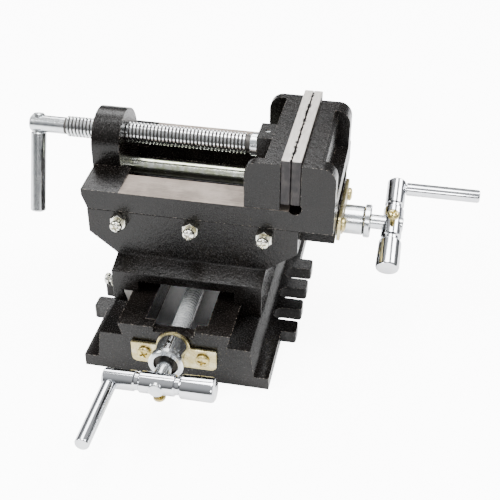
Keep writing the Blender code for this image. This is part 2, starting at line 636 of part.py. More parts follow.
def vise_body():
    """Casting that carries the work: tongue, bed with a trough, nut post, pads and fixed jaw."""
    mesh = bmesh.new()
    rail = [(MID_Y + TONGUE_NECK_HALF, BODY_Z), (JAW_REAR, BODY_Z), (JAW_REAR, BED_Z)]
    rail += [(MID_Y + TROUGH_HALF, BED_Z), (MID_Y + TROUGH_HALF, BED_Z - TROUGH_DEPTH)]
    low = [(SCREW_CHANNEL_HALF, TONGUE_Z + SCREW_CHANNEL_UP - SIDE_SCREW_DROP)]
    low += [(SCREW_CHANNEL_HALF, TONGUE_Z), (TONGUE_FOOT_HALF, TONGUE_Z)]
    right = [(MID_Y + across, up) for across, up in low] + rail
    left = [(2 * MID_Y - across, up) for across, up in reversed(right)]
    add_prism(mesh, right + left, "X", -BODY_LEFT, BODY_RIGHT)
    made = piece(mesh, "vise_body", cast_enamel("vise_body_enamel"))

    mesh = bmesh.new()
    crest = POST_RISE - POST_HALF
    outline = [(MID_Y - POST_HALF, BODY_Z + SMALL_OVER), (MID_Y - POST_HALF, BED_Z + crest)]
    for step in range(1, 20):
        angle = pi - pi * step / 20
        outline.append((MID_Y + POST_HALF * cos(angle), BED_Z + crest + POST_HALF * sin(angle)))
    outline += [(MID_Y + POST_HALF, BED_Z + crest), (MID_Y + POST_HALF, BODY_Z + SMALL_OVER)]
    add_prism(mesh, outline, "X", -POST_LEFT, -POST_LEFT + POST_THICK)
    join(made, mesh, "post")

    mesh = bmesh.new()
    for side in (-1, 1):
        outer = MID_Y + side * JAW_WIDTH / 2
        inner = MID_Y + side * (POST_HALF - END_CHAMFER)
        outline = [(outer, BED_Z - JOIN_SINK), (outer, BED_Z + HAIR)]
        outline += [(inner, BED_Z + BED_PAD_RISE), (inner, BED_Z - JOIN_SINK)]
        add_prism(mesh, outline, "X", -BODY_LEFT, BED_LEFT)
    join(made, mesh, "bed_pads")

    top = BED_Z + FIXED_JAW_RISE
    mesh = bmesh.new()
    outline = [(FIXED_JAW_X, BED_Z - JOIN_SINK), (FIXED_JAW_X, top), (FIXED_JAW_X + FIXED_JAW_TOP, top)]
    run = BODY_RIGHT - FIXED_JAW_X - FIXED_JAW_TOP
    for step in range(1, 8):
        angle = pi / 2 * (1 - step / 8)
        across = BODY_RIGHT - run * (1 - cos(angle))
        outline.append((across, top - JAW_ROUND_DROP * (1 - sin(angle))))
    outline += [(BODY_RIGHT, top - JAW_ROUND_DROP), (BODY_RIGHT, BED_Z - JOIN_SINK)]
    add_prism(mesh, outline, "Y", JAW_FRONT, JAW_REAR - FIXED_JAW_SHORT)
    join(made, mesh, "fixed_jaw")

    mesh = bmesh.new()
    wall = FIXED_JAW_X + JAW_WALL
    far = BODY_RIGHT + CUT_OVER
    floor = BED_Z + RECESS_FLOOR_RISE
    lip = wall - RECESS_LIP
    recess = [(wall, floor), (far, floor - RECESS_FLOOR_FALL), (far, top + CUT_OVER)]
    recess += [(lip, top + CUT_OVER), (lip, top - HAIR), (wall, top - HAIR - RECESS_LIP)]
    add_prism(mesh, recess, "Y", JAW_FRONT + FRONT_RIB, JAW_REAR - FIXED_JAW_SHORT - REAR_RIB)
    cut(made, mesh, "jaw_recess")

    mesh = bmesh.new()
    beyond = -BODY_LEFT - CUT_OVER
    chamfer_top = BODY_Z + BODY_CHAMFER_RISE
    outline = [(beyond, BODY_Z - CUT_OVER), (-BODY_LEFT + BODY_CHAMFER, BODY_Z - CUT_OVER)]
    outline += [(-BODY_LEFT + BODY_CHAMFER, BODY_Z), (-BODY_LEFT, chamfer_top), (beyond, chamfer_top)]
    add_prism(mesh, outline, "Y", JAW_FRONT - CUT_OVER, JAW_FRONT + BODY_CHAMFER_RUN)
    cut(made, mesh, "left_chamfer")
    soften(made, CAST_ROUND)

    mesh = bmesh.new()
    seam = (MOVING_PLATE_X + FIXED_PLATE_X) / 2
    add_rod(mesh, (seam, 0, BED_Z + CHIP_GROOVE_LIFT), (0, 1, 0), JAW_FRONT - CUT_OVER, JAW_REAR + CUT_OVER,
            CHIP_GROOVE_RADIUS, 32)
    cut(made, mesh, "chip_groove")

    mesh = bmesh.new()
    add_rod(mesh, (-POST_LEFT, MID_Y, JAW_SCREW_Z), (1, 0, 0), -CUT_OVER, POST_THICK + CUT_OVER,
            JAW_SCREW_RADIUS + THREAD_GAP, 40)
    add_rod(mesh, (-POST_LEFT, MID_Y, GUIDE_Z), (1, 0, 0), -CUT_OVER, POST_THICK + BED_PAD_LENGTH,
            GUIDE_RADIUS + THREAD_GAP, 40)
    for along in plate_screw_places():
        add_rod(mesh, (FIXED_JAW_X, along, PLATE_SCREW_Z), (1, 0, 0), -SMALL_OVER,
                PLATE_SCREW_LENGTH - PLATE_THICK + END_CHAMFER, PLATE_SCREW_RADIUS + THREAD_GAP, 20)
    for across, up in ear_places():
        add_rod(mesh, (BODY_RIGHT, MID_Y + across, SIDE_SCREW_Z + up), (-1, 0, 0),
                -SMALL_OVER, EAR_SCREW_LENGTH, EAR_SCREW_RADIUS + THREAD_GAP, 20)
    cut(made, mesh, "bores")
    return made


def plate_screw_places():
    return [MID_Y + side * PLATE_SCREW_PITCH / 2 for side in (-1, 1)]


# Jaw plates and their screws

def jaw_plate(name, inner, face):
    """Ground plate with two countersunk holes. inner is the side against its jaw, face the working side."""
    aim = 1 if inner > face else -1
    mesh = bmesh.new()
    add_box(mesh, (min(inner, face), JAW_FRONT, PLATE_Z),
            (max(inner, face), JAW_REAR, PLATE_Z + PLATE_HEIGHT))
    made = piece(mesh, name, bright_steel(f"{name}_steel"))
    soften(made, PLATE_ROUND, 1)
    mesh = bmesh.new()
    for along in plate_screw_places():
        add_turned(mesh, plate_screw_profile(BORE_GAP, END_CHAMFER), (face, along, PLATE_SCREW_Z),
                   (aim, 0, 0), 24)
    cut(made, mesh, "holes")
    for number, along in enumerate(plate_screw_places(), 1):
        mesh = bmesh.new()
        add_turned(mesh, plate_screw_profile(0, 0), (face, along, PLATE_SCREW_Z), (aim, 0, 0), 24)
        piece(mesh, f"{name}_screw_{number}", zinc(f"{name}_screw_{number}_zinc"))


def plate_screw_profile(room, over):
    """Cheese-headed screw sunk below the plate's working face."""
    start = -over if over else PLATE_HEAD_SINK
    head = PLATE_HEAD_DEPTH + (HAIR if over else 0)
    shank = PLATE_SCREW_RADIUS + (THREAD_GAP if over else 0)
    end = PLATE_SCREW_LENGTH + over
    return [(start, 0), (start, PLATE_HEAD_RADIUS + room), (head, PLATE_HEAD_RADIUS + room),
            (head, shank), (end, shank), (end, 0)]


# Moving jaw

def moving_jaw():
    """Casting that slides on the bed: a bar with two wings, a boss for the screw and a keel in the trough."""
    floor = BED_Z + SLIDE_GAP
    top = BED_Z + FIXED_JAW_RISE
    rear = JAW_REAR - MOVING_JAW_SHORT
    mesh = bmesh.new()
    add_box(mesh, (MOVING_BACK_X, JAW_FRONT, floor), (MOVING_JAW_X, rear, top))
    made = piece(mesh, "moving_jaw", cast_enamel("moving_jaw_enamel"))

    left = MOVING_BACK_X - WING_REACH
    outline = [(MOVING_BACK_X + JOIN_SINK, floor), (left, floor)]
    for step in range(9):
        angle = pi - pi / 2 * step / 8
        across = left + WING_ROUND * (1 + cos(angle))
        outline.append((across, top - WING_ROUND * (1 - sin(angle))))
    outline.append((MOVING_BACK_X + JOIN_SINK, top))
    mesh = bmesh.new()
    add_prism(mesh, outline, "Y", JAW_FRONT, JAW_FRONT + WING_THICK)
    add_prism(mesh, outline, "Y", rear - WING_THICK, rear)
    join(made, mesh, "wings")

    mesh = bmesh.new()
    add_box(mesh, (BOSS_X, MID_Y - BOSS_HALF, floor),
            (MOVING_BACK_X + JOIN_SINK, MID_Y + BOSS_HALF, top - BOSS_DROP))
    join(made, mesh, "boss")

    mesh = bmesh.new()
    add_box(mesh, (MOVING_BACK_X, MID_Y - KEEL_HALF, BED_Z - KEEL_DEPTH),
            (MOVING_JAW_X, MID_Y + KEEL_HALF, floor + JOIN_SINK))
    join(made, mesh, "keel")
    soften(made, CAST_ROUND)

    mesh = bmesh.new()
    add_rod(mesh, (BOSS_X, MID_Y, JAW_SCREW_Z), (1, 0, 0), -SMALL_OVER, JAW_TENON_LENGTH + END_CHAMFER,
            JAW_TENON_RADIUS + THREAD_GAP, 32)
    add_rod(mesh, (MOVING_BACK_X, MID_Y, GUIDE_Z), (1, 0, 0), -SMALL_OVER, MOVING_JAW_THICK + SMALL_OVER,
            GUIDE_RADIUS + THREAD_GAP, 40)
    for along in plate_screw_places():
        add_rod(mesh, (MOVING_JAW_X, along, PLATE_SCREW_Z), (-1, 0, 0), -SMALL_OVER,
                PLATE_SCREW_LENGTH - PLATE_THICK + END_CHAMFER, PLATE_SCREW_RADIUS + THREAD_GAP, 20)
    cut(made, mesh, "bores")
    mesh = bmesh.new()
    add_rod(mesh, (BOSS_X + BOSS_REACH / 2, MID_Y, top - BOSS_DROP), (0, 0, -1), -SMALL_OVER,
            top - BOSS_DROP - JAW_SCREW_Z, RETAINER_RADIUS + THREAD_GAP, 20)
    cut(made, mesh, "retainer_hole")

    mesh = bmesh.new()
    depth = top - BOSS_DROP - JAW_SCREW_Z - JAW_TENON_RADIUS - THREAD_GAP - GAP
    add_rod(mesh, (BOSS_X + BOSS_REACH / 2, MID_Y, top - BOSS_DROP), (0, 0, -1), RETAINER_SINK, depth,
            RETAINER_RADIUS, 20)
    piece(mesh, "jaw_screw_retainer", zinc("jaw_screw_retainer_zinc"))


# Jaw screw, its handle and the guide rod

def jaw_screw():
    """Threaded spindle with a collar against the moving jaw and a plain end for the handle."""
    left = -JAW_SCREW_LEFT
    far = left - JAW_SCREW_STUB
    collar_end = BOSS_X - GAP
    collar = collar_end - JAW_COLLAR_LENGTH
    profile = [(far, 0), (far, JAW_STUB_RADIUS - END_CHAMFER), (far + END_CHAMFER, JAW_STUB_RADIUS)]
    profile += [(left, JAW_STUB_RADIUS), (left, JAW_SCREW_RADIUS - END_CHAMFER)]
    profile += [(left + END_CHAMFER, JAW_SCREW_RADIUS)]
    profile += [(collar, JAW_SCREW_RADIUS), (collar, JAW_COLLAR_RADIUS), (collar_end, JAW_COLLAR_RADIUS)]
    profile += [(collar_end, JAW_TENON_RADIUS), (BOSS_X + JAW_TENON_LENGTH, JAW_TENON_RADIUS)]
    profile += [(BOSS_X + JAW_TENON_LENGTH, 0)]
    place = (0, MID_Y, JAW_SCREW_Z)
    mesh = bmesh.new()
    add_turned(mesh, profile, place, (1, 0, 0), 40)
    made = piece(mesh, "jaw_screw", zinc("jaw_screw_zinc"), place)
    aim = (0, sin(JAW_HANDLE_TILT), cos(JAW_HANDLE_TILT))
    centre = (-JAW_HANDLE_X, MID_Y, JAW_SCREW_Z)
    mesh = bmesh.new()
    reach = 2 * JAW_STUB_RADIUS
    add_rod(mesh, centre, aim, -reach, reach, JAW_HANDLE_NECK + THREAD_GAP, 24)
    cut(made, mesh, "handle_hole")

    neck = JAW_HANDLE_NECK
    shoulder = -JAW_STUB_RADIUS - GAP
    tip = JAW_HANDLE_UP + END_CHAMFER
    profile = [(-JAW_HANDLE_DOWN, 0), (-JAW_HANDLE_DOWN, JAW_HANDLE_RADIUS - END_CHAMFER)]
    profile += [(-JAW_HANDLE_DOWN + END_CHAMFER, JAW_HANDLE_RADIUS), (shoulder, JAW_HANDLE_RADIUS)]
    profile += [(shoulder, neck), (JAW_HANDLE_UP, neck), (tip, neck - END_CHAMFER), (tip, 0)]
    mesh = bmesh.new()
    add_turned(mesh, profile, centre, aim, 32)
    piece(mesh, "jaw_screw_handle", zinc("jaw_screw_handle_zinc"), centre)

    mesh = bmesh.new()
    add_rod(mesh, (0, MID_Y, GUIDE_Z), (1, 0, 0), -GUIDE_LEFT, MOVING_JAW_X - END_CHAMFER,
            GUIDE_RADIUS, 32, END_CHAMFER)
    piece(mesh, "guide_rod", gold_zinc("guide_rod_zinc"))


# The two screw drives, each made from the same parts

class Drive:
    """Placing of one drive: its shaft's start on the casting, outward way, ears' way and across way."""

    def __init__(self, name, origin, out, ears, crank_angle, crank_out):
        self.name = name
        self.origin = Vector(origin)
        self.out = Vector(out)
        self.ears = Vector(ears)
        self.across = self.ears.cross(self.out)
        self.crank_angle = crank_angle
        self.crank_out = crank_out

    def at(self, out=0.0, ears=0.0, across=0.0):
        return self.origin + self.out * out + self.ears * ears + self.across * across

    def place(self, mesh):
        """Moves a mesh made with X across, Y towards the ears and Z outward onto this drive."""
        turn = Matrix((self.across, self.ears, self.out)).transposed()
        if turn.determinant() < 0:
            raise ValueError("drive axes must be right-handed")
        mesh.transform(Matrix.Translation(self.origin) @ turn.to_4x4())

    def thick_way(self):
        return self.ears * sin(self.crank_angle) - self.across * cos(self.crank_angle)


def bracket(drive):
    """Stamped plate: a strip with two screw holes and a round eye about the shaft."""
    mesh = bmesh.new()
    centre = BRACKET_HALF - BRACKET_CORNER
    rise = BRACKET_REACH - BRACKET_CORNER
    outline = [(BRACKET_HALF, BRACKET_FLAT), (BRACKET_HALF, rise)]
    for step in range(1, 6):
        angle = pi / 2 * step / 6
        outline.append((centre + BRACKET_CORNER * cos(angle), rise + BRACKET_CORNER * sin(angle)))
    outline.append((centre, BRACKET_REACH))
    outline += [(-across, up) for across, up in reversed(outline)]
    for step in range(21):
        angle = pi + pi * step / 20
        outline.append((BRACKET_RING * cos(angle), BRACKET_RING * sin(angle) + BRACKET_FLAT))
    add_prism(mesh, outline, "Z", GAP, GAP + BRACKET_THICK)
    drive.place(mesh)
    made = piece(mesh, f"{drive.name}_bracket", gold_zinc(f"{drive.name}_bracket_zinc"))
    soften(made, PLATE_ROUND, 1)
    mesh = bmesh.new()
    add_rod(mesh, drive.at(), drive.out, -CUT_OVER, CUT_OVER, JOURNAL_RADIUS + BORE_GAP, 32)
    for across, up in ear_places():
        add_rod(mesh, drive.at(across=across, ears=up), drive.out, -CUT_OVER, CUT_OVER,
                EAR_SCREW_RADIUS + BORE_GAP, 20)
    cut(made, mesh, "holes")

    for number, (across, up) in enumerate(ear_places(), 1):
        under = 2 * GAP + BRACKET_THICK
        top = under + EAR_HEAD_HEIGHT
        tip = GAP - EAR_SCREW_LENGTH
        rim = under + 0.4 * EAR_HEAD_HEIGHT
        shoulder = under + 0.8 * EAR_HEAD_HEIGHT
        profile = [(tip, 0), (tip, EAR_SCREW_RADIUS), (under, EAR_SCREW_RADIUS), (under, EAR_HEAD_RADIUS)]
        profile += [(rim, EAR_HEAD_RADIUS), (shoulder, 0.7 * EAR_HEAD_RADIUS)]
        profile += [(top, 0.3 * EAR_HEAD_RADIUS), (top, 0)]
        mesh = bmesh.new()
        add_turned(mesh, profile, drive.at(across=across, ears=up), drive.out, 24)
        name = f"{drive.name}_bracket_screw_{number}"
        piece(mesh, name, gold_zinc(f"{name}_zinc"))


def bushing(drive):
    """Plain bearing standing out from the bracket, with an oil hole on the side away from the ears."""
    start = 2 * GAP + BRACKET_THICK
    end = start + BUSHING_LENGTH
    mesh = bmesh.new()
    add_rod(mesh, drive.at(), drive.out, start, end, BUSHING_RADIUS, 40, BUSHING_CHAMFER)
    made = piece(mesh, f"{drive.name}_bushing", zinc(f"{drive.name}_bushing_zinc"))
    mesh = bmesh.new()
    add_rod(mesh, drive.at(out=(start + end) / 2), -drive.ears, JOURNAL_RADIUS / 4,
            BUSHING_RADIUS + SMALL_OVER, OIL_HOLE_RADIUS, 14)
    cut(made, mesh, "oil_hole")
    mesh = bmesh.new()
    add_rod(mesh, drive.at(), drive.out, start - CUT_OVER, end + CUT_OVER, JOURNAL_RADIUS + THREAD_GAP, 40)
    cut(made, mesh, "bore")
    return end


def lead_screw(drive, inside, start, length):
    """Lead screw with a plain journal through the bracket, bushing, collar and crank."""
    face = drive.crank_out + CRANK_HUB_RADIUS + SHAFT_PROUD
    far = -start - length
    profile = [(face, 0), (face, JOURNAL_RADIUS - SHAFT_CHAMFER), (face - SHAFT_CHAMFER, JOURNAL_RADIUS)]
    profile += [(-inside, JOURNAL_RADIUS), (-inside, LEAD_RADIUS), (far + END_CHAMFER, LEAD_RADIUS)]
    profile += [(far, LEAD_RADIUS - END_CHAMFER), (far, 0)]
    mesh = bmesh.new()
    add_turned(mesh, profile, drive.at(), drive.out, 40)
    piece(mesh, f"{drive.name}_lead_screw", zinc(f"{drive.name}_lead_screw_zinc"), drive.at())


def collar(drive, start):
    """Thrust collar on the shaft, with a counterbore on its outer side."""
    end = start + GAP + COLLAR_LENGTH
    mesh = bmesh.new()
    add_rod(mesh, drive.at(), drive.out, start + GAP, end, COLLAR_RADIUS, 40, COLLAR_CHAMFER)
    made = piece(mesh, f"{drive.name}_collar", chrome(f"{drive.name}_collar_chrome"), drive.at())
    mesh = bmesh.new()
    bore = JOURNAL_RADIUS + THREAD_GAP
    floor = end - COLLAR_SINK_DEPTH
    profile = [(start - SMALL_OVER, 0), (start - SMALL_OVER, bore), (floor, bore)]
    profile += [(floor, COLLAR_SINK_RADIUS), (end + SMALL_OVER, COLLAR_SINK_RADIUS), (end + SMALL_OVER, 0)]
    add_turned(mesh, profile, drive.at(), drive.out, 40)
    cut(made, mesh, "bore")


def crank(drive):
    """Turned crank bar across the shaft, its handle and its set screw."""
    way = drive.thick_way()
    centre = drive.at(out=drive.crank_out)
    hub = CRANK_HUB_HALF
    groove = hub + CRANK_GROOVE
    slope = END_CHAMFER
    nose = CRANK_NOSE
    profile = [(-CRANK_THIN, 0), (-CRANK_THIN, CRANK_THIN_RADIUS - nose)]
    profile += [(-CRANK_THIN + nose, CRANK_THIN_RADIUS), (-groove - slope, CRANK_THIN_RADIUS)]
    profile += [(-groove, CRANK_GROOVE_RADIUS), (-hub - slope, CRANK_GROOVE_RADIUS)]
    profile += [(-hub, CRANK_HUB_RADIUS), (hub, CRANK_HUB_RADIUS), (hub + slope, CRANK_GROOVE_RADIUS)]
    profile += [(groove, CRANK_GROOVE_RADIUS), (groove + slope, CRANK_THICK_RADIUS - CRANK_TAPER)]
    profile += [(CRANK_THICK - nose, CRANK_THICK_RADIUS), (CRANK_THICK, CRANK_THICK_RADIUS - nose)]
    profile += [(CRANK_THICK, 0)]
    mesh = bmesh.new()
    add_turned(mesh, profile, centre, way, 40)
    made = piece(mesh, f"{drive.name}_crank_bar", chrome(f"{drive.name}_crank_bar_chrome"), drive.at())

    mesh = bmesh.new()
    reach = 2 * CRANK_THICK_RADIUS
    add_rod(mesh, centre, drive.out, -reach, reach, JOURNAL_RADIUS + THREAD_GAP, 40)
    cut(made, mesh, "shaft_bore")
    rod = centre - way * CRANK_ROD_PLACE
    mesh = bmesh.new()
    add_rod(mesh, rod, drive.out, -reach, reach, CRANK_TENON_RADIUS + THREAD_GAP, 24)
    cut(made, mesh, "handle_bore")
    aim = -drive.out.cross(way)
    mesh = bmesh.new()
    add_rod(mesh, centre, aim, 0, reach, SET_SCREW_RADIUS + THREAD_GAP, 16)
    cut(made, mesh, "set_screw_bore")

    shoulder = CRANK_THIN_RADIUS + GAP
    tenon = -CRANK_THIN_RADIUS + CRANK_TENON_SHORT
    profile = [(tenon, 0), (tenon, CRANK_TENON_RADIUS)]
    profile += [(shoulder, CRANK_TENON_RADIUS), (shoulder, CRANK_ROD_RADIUS)]
    profile += [(CRANK_ROD_LENGTH - END_CHAMFER, CRANK_ROD_RADIUS)]
    profile += [(CRANK_ROD_LENGTH, CRANK_ROD_RADIUS - END_CHAMFER)]
    profile += [(CRANK_ROD_LENGTH, 0)]
    mesh = bmesh.new()
    add_turned(mesh, profile, rod, drive.out, 32)
    piece(mesh, f"{drive.name}_crank_handle", chrome(f"{drive.name}_crank_handle_chrome"), drive.at())

    under = CRANK_HUB_RADIUS + SET_STAND_OFF
    profile = [(JOURNAL_RADIUS + GAP, 0), (JOURNAL_RADIUS + GAP, SET_SCREW_RADIUS), (under, SET_SCREW_RADIUS)]
    profile += [(under, SET_HEAD_RADIUS), (under + 0.5 * SET_HEAD_HEIGHT, SET_HEAD_RADIUS)]
    profile += [(under + SET_HEAD_HEIGHT, 0.6 * SET_HEAD_RADIUS), (under + SET_HEAD_HEIGHT, 0)]
    mesh = bmesh.new()
    add_turned(mesh, profile, centre, aim, 24)
    piece(mesh, f"{drive.name}_crank_set_screw", gold_zinc(f"{drive.name}_crank_set_screw_zinc"), drive.at())


def nut(name, low, high, place, axis, screw_x, from_top, bite):
    """Block nut with clearance over the screw and a blind hole for the screw that holds it to the saddle."""
    mesh = bmesh.new()
    add_box(mesh, low, high)
    made = piece(mesh, name, bronze(f"{name}_bronze"))
    soften(made, CAST_ROUND, 1)
    mesh = bmesh.new()
    add_rod(mesh, place, axis, -2 * NUT_HALF, 2 * NUT_HALF, LEAD_RADIUS + THREAD_GAP, 40)
    cut(made, mesh, "bore")
    aim = (0, 0, -1 if from_top else 1)
    start = nut_screw_place(screw_x, from_top)
    web = CHANNEL_Z - TUNNEL_Z
    mesh = bmesh.new()
    add_rod(mesh, start, aim, web - SMALL_OVER, web + bite + GAP, NUT_SCREW_RADIUS + THREAD_GAP, 24)
    cut(made, mesh, "screw_hole")
    mesh = bmesh.new()
    add_turned(mesh, nut_screw_profile(bite, 0, 0), start, aim, 24)
    piece(mesh, f"{name}_screw", zinc(f"{name}_screw_zinc"))


def front_drive():
    drive = Drive("y", (0, BASE_FRONT, FRONT_SCREW_Z), (0, -1, 0), (0, 0, -1), FRONT_CRANK_ANGLE,
                  FRONT_CRANK_OUT)
    length = BASE_LENGTH - 2 * END_WALL - LEAD_END_ROOM
    add_drive(drive, END_WALL + GAP, END_WALL, length)
    low = (-NUT_WIDTH_HALF, MID_Y - NUT_HALF, FRONT_SCREW_Z - FRONT_NUT_DROP)
    high = (NUT_WIDTH_HALF, MID_Y + NUT_HALF, TUNNEL_Z - GAP)
    nut("y_nut", low, high, (0, MID_Y, FRONT_SCREW_Z), (0, 1, 0), 0, True, FRONT_NUT_BITE)


def side_drive():
    drive = Drive("x", (BODY_RIGHT, MID_Y, SIDE_SCREW_Z), (1, 0, 0), (0, 0, 1), SIDE_CRANK_ANGLE,
                  SIDE_CRANK_OUT)
    length = BODY_RIGHT + BODY_LEFT - LEAD_END_ROOM
    add_drive(drive, GAP, 0, length)
    half = SCREW_CHANNEL_HALF - GAP - 2 * HAIR
    low = (SIDE_NUT_X - NUT_HALF, MID_Y - half, CHANNEL_Z + GAP)
    high = (SIDE_NUT_X + NUT_HALF, MID_Y + half, SIDE_SCREW_Z + SCREW_CHANNEL_UP - 2 * GAP)
    place = (SIDE_NUT_X, MID_Y, SIDE_SCREW_Z)
    nut("x_nut", low, high, place, (1, 0, 0), SIDE_NUT_X, False, SIDE_NUT_BITE)


def add_drive(drive, inside, start, length):
    """All of a drive's pieces but its nut, in the order they slide onto the shaft."""
    bracket(drive)
    end = bushing(drive)
    collar(drive, end)
    lead_screw(drive, inside, start, length)
    crank(drive)


for old in list(bpy.data.objects):
    bpy.data.objects.remove(old)

base()
saddle()
gibs()
gib_screws()
vise_body()
jaw_plate("fixed_jaw_plate", FIXED_PLATE_X, FIXED_PLATE_X - PLATE_THICK)
jaw_plate("moving_jaw_plate", MOVING_JAW_X + GAP, MOVING_JAW_X + GAP + PLATE_THICK)
moving_jaw()
jaw_screw()
front_drive()
side_drive()
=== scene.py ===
from math import cos, pi, radians, sin

import bmesh
import bpy
from mathutils import Matrix, Vector


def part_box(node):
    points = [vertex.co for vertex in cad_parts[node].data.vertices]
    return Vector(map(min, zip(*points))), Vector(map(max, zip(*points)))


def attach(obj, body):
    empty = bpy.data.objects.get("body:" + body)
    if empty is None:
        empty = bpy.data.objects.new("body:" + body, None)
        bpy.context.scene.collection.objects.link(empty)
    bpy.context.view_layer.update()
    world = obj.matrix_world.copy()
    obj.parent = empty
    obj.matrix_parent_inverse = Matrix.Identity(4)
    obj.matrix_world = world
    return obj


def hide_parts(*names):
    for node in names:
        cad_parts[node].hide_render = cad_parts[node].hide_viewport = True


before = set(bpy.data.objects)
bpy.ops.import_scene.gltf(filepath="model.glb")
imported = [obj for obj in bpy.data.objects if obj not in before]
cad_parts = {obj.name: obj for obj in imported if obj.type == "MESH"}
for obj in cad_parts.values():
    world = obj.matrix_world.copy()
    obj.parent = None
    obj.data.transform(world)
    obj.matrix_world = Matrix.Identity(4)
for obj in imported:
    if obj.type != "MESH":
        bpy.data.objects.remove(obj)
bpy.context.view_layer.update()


# Base
# A grey iron casting: two dovetail rails on side walls, a wall at each end and slotted lugs for the
# hold-down bolts. It is sand cast, sprayed with black enamel as it leaves the mould, and left bare where
# the saddle slides.

def srgb(code):
    """Linear colour of an sRGB hex value."""
    parts = [int(code[place:place + 2], 16) / 255 for place in (1, 3, 5)]
    return (*[part / 12.92 if part < 0.04045 else ((part + 0.055) / 1.055) ** 2.4 for part in parts], 1)


def add(tree, kind, inputs=(), **settings):
    """A node with its settings, and its inputs either set or linked."""
    made = tree.nodes.new("ShaderNode" + kind)
    for name, value in settings.items():
        setattr(made, name, value)
    for name, value in dict(inputs).items():
        if isinstance(value, bpy.types.NodeSocket):
            tree.links.new(value, made.inputs[name])
        else:
            made.inputs[name].default_value = value
    return made


def start_finish(name):
    """A new material with its tree, its shader and the piece's own coordinates."""
    made = bpy.data.materials.new(name)
    made.use_nodes = True
    tree = made.node_tree
    return made, tree, tree.nodes["Principled BSDF"], add(tree, "TexCoord").outputs["Object"]


def blend_colours(tree, share, first, second):
    """The first colour where share is 0 and the second where it is 1."""
    made = add(tree, "Mix", {0: share, 6: first, 7: second}, data_type="RGBA")
    return made.outputs[2]


def rise(tree, value, low, high, bottom=0.0, top=1.0):
    """Runs smoothly from bottom to top as value goes from low to high."""
    made = add(tree, "MapRange", {0: value, 1: low, 2: high, 3: bottom, 4: top},
               interpolation_type="SMOOTHSTEP")
    return made.outputs[0]


def speckle(tree, place, size, detail=2.0):
    """Cloudy noise whose lumps are about size metres across."""
    return add(tree, "TexNoise", {"Vector": place, "Scale": 1 / size, "Detail": detail}).outputs["Fac"]


def wear_and_glint_edge(tree, reach):
    """How sharply the surface turns within reach metres: 0 on a flat, rising on an edge."""
    rounded = add(tree, "Bevel", {"Radius": reach}, samples=6).outputs["Normal"]
    flat = add(tree, "NewGeometry").outputs["Normal"]
    dot = add(tree, "VectorMath", {0: rounded, 1: flat}, operation="DOT_PRODUCT").outputs["Value"]
    return add(tree, "Math", {0: 1.0, 1: dot}, operation="SUBTRACT").outputs[0]


def sprayed_enamel():
    """Black enamel over as-cast iron. The sand's grain shows through as a soft orange peel, coarser lumps
    catch the light, and edges and creases are painted light grey, partly as worn iron and partly as a painted
    highlight along them."""
    made, tree, shader, place = start_finish("black_enamel_sprayed_on_sand_cast_iron")
    grain = speckle(tree, place, 0.0009, 3.0)
    lumps = speckle(tree, place, 0.0034, 2.0)
    dust = speckle(tree, place, 0.0160, 4.0)
    chips = speckle(tree, place, 0.0015, 4.0)
    # Edges and creases turn light grey: worn iron in part, and in part a painted highlight.
    edge = rise(tree, wear_and_glint_edge(tree, 0.0007), 0.03, 0.20)
    bare = rise(tree, chips, 0.50, 0.58)
    rubbed_and_painted_light = add(tree, "Math", {0: edge, 1: bare}, operation="MULTIPLY").outputs[0]
    black = blend_colours(tree, rise(tree, dust, 0.3, 0.75), srgb("#070605"), srgb("#110e0c"))
    black = blend_colours(tree, rise(tree, grain, 0.56, 0.76, 0.0, 0.6), black, srgb("#241f1c"))
    tree.links.new(blend_colours(tree, rubbed_and_painted_light, black, srgb("#8a8178")), shader.inputs["Base Color"])
    gloss = rise(tree, grain, 0.35, 0.70, 0.14, 0.32)
    tree.links.new(gloss, shader.inputs["Roughness"])
    height = add(tree, "Math", {0: lumps, 1: 0.9, 2: grain}, operation="MULTIPLY_ADD").outputs[0]
    bump = add(tree, "Bump", {"Strength": 0.80, "Distance": 0.00020, "Height": height})
    tree.links.new(bump.outputs[0], shader.inputs["Normal"])
    shader.inputs["IOR"].default_value = 1.50
    shader.inputs["Specular IOR Level"].default_value = 0.28
    return made


def milled_iron():
    """Grey iron faced on a milling machine and left bare. Oil and handling tone it to a warm taupe, with
    fine feed lines along the bed, dark pores and faint stains."""
    made, tree, shader, place = start_finish("bare_milled_cast_iron")
    long = add(tree, "Mapping", {"Vector": place, "Scale": (0.05, 1.0, 1.0)}).outputs[0]
    feed = speckle(tree, long, 0.0005, 2.0)
    stain = speckle(tree, place, 0.0130, 4.0)
    pores = speckle(tree, place, 0.0009, 2.0)
    tone = blend_colours(tree, rise(tree, stain, 0.3, 0.7), srgb("#8c8178"), srgb("#6f655d"))
    tone = blend_colours(tree, rise(tree, feed, 0.4, 0.8, 0.0, 0.6), tone, srgb("#a0958a"))
    tone = blend_colours(tree, rise(tree, pores, 0.68, 0.74), tone, srgb("#3b3632"))
    tree.links.new(tone, shader.inputs["Base Color"])
    tree.links.new(rise(tree, stain, 0.3, 0.7, 0.50, 0.62), shader.inputs["Roughness"])
    bump = add(tree, "Bump", {"Strength": 0.3, "Distance": 0.00006, "Height": feed})
    tree.links.new(bump.outputs[0], shader.inputs["Normal"])
    shader.inputs["Metallic"].default_value = 0.45
    return made


def copy_node(node):
    """The node's own shape with its loose triangles merged into whole faces."""
    mesh = bmesh.new()
    mesh.from_mesh(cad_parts[node].data)
    bmesh.ops.remove_doubles(mesh, verts=mesh.verts, dist=2e-6)
    bmesh.ops.dissolve_limit(mesh, angle_limit=radians(0.5), verts=mesh.verts, edges=mesh.edges)
    return mesh


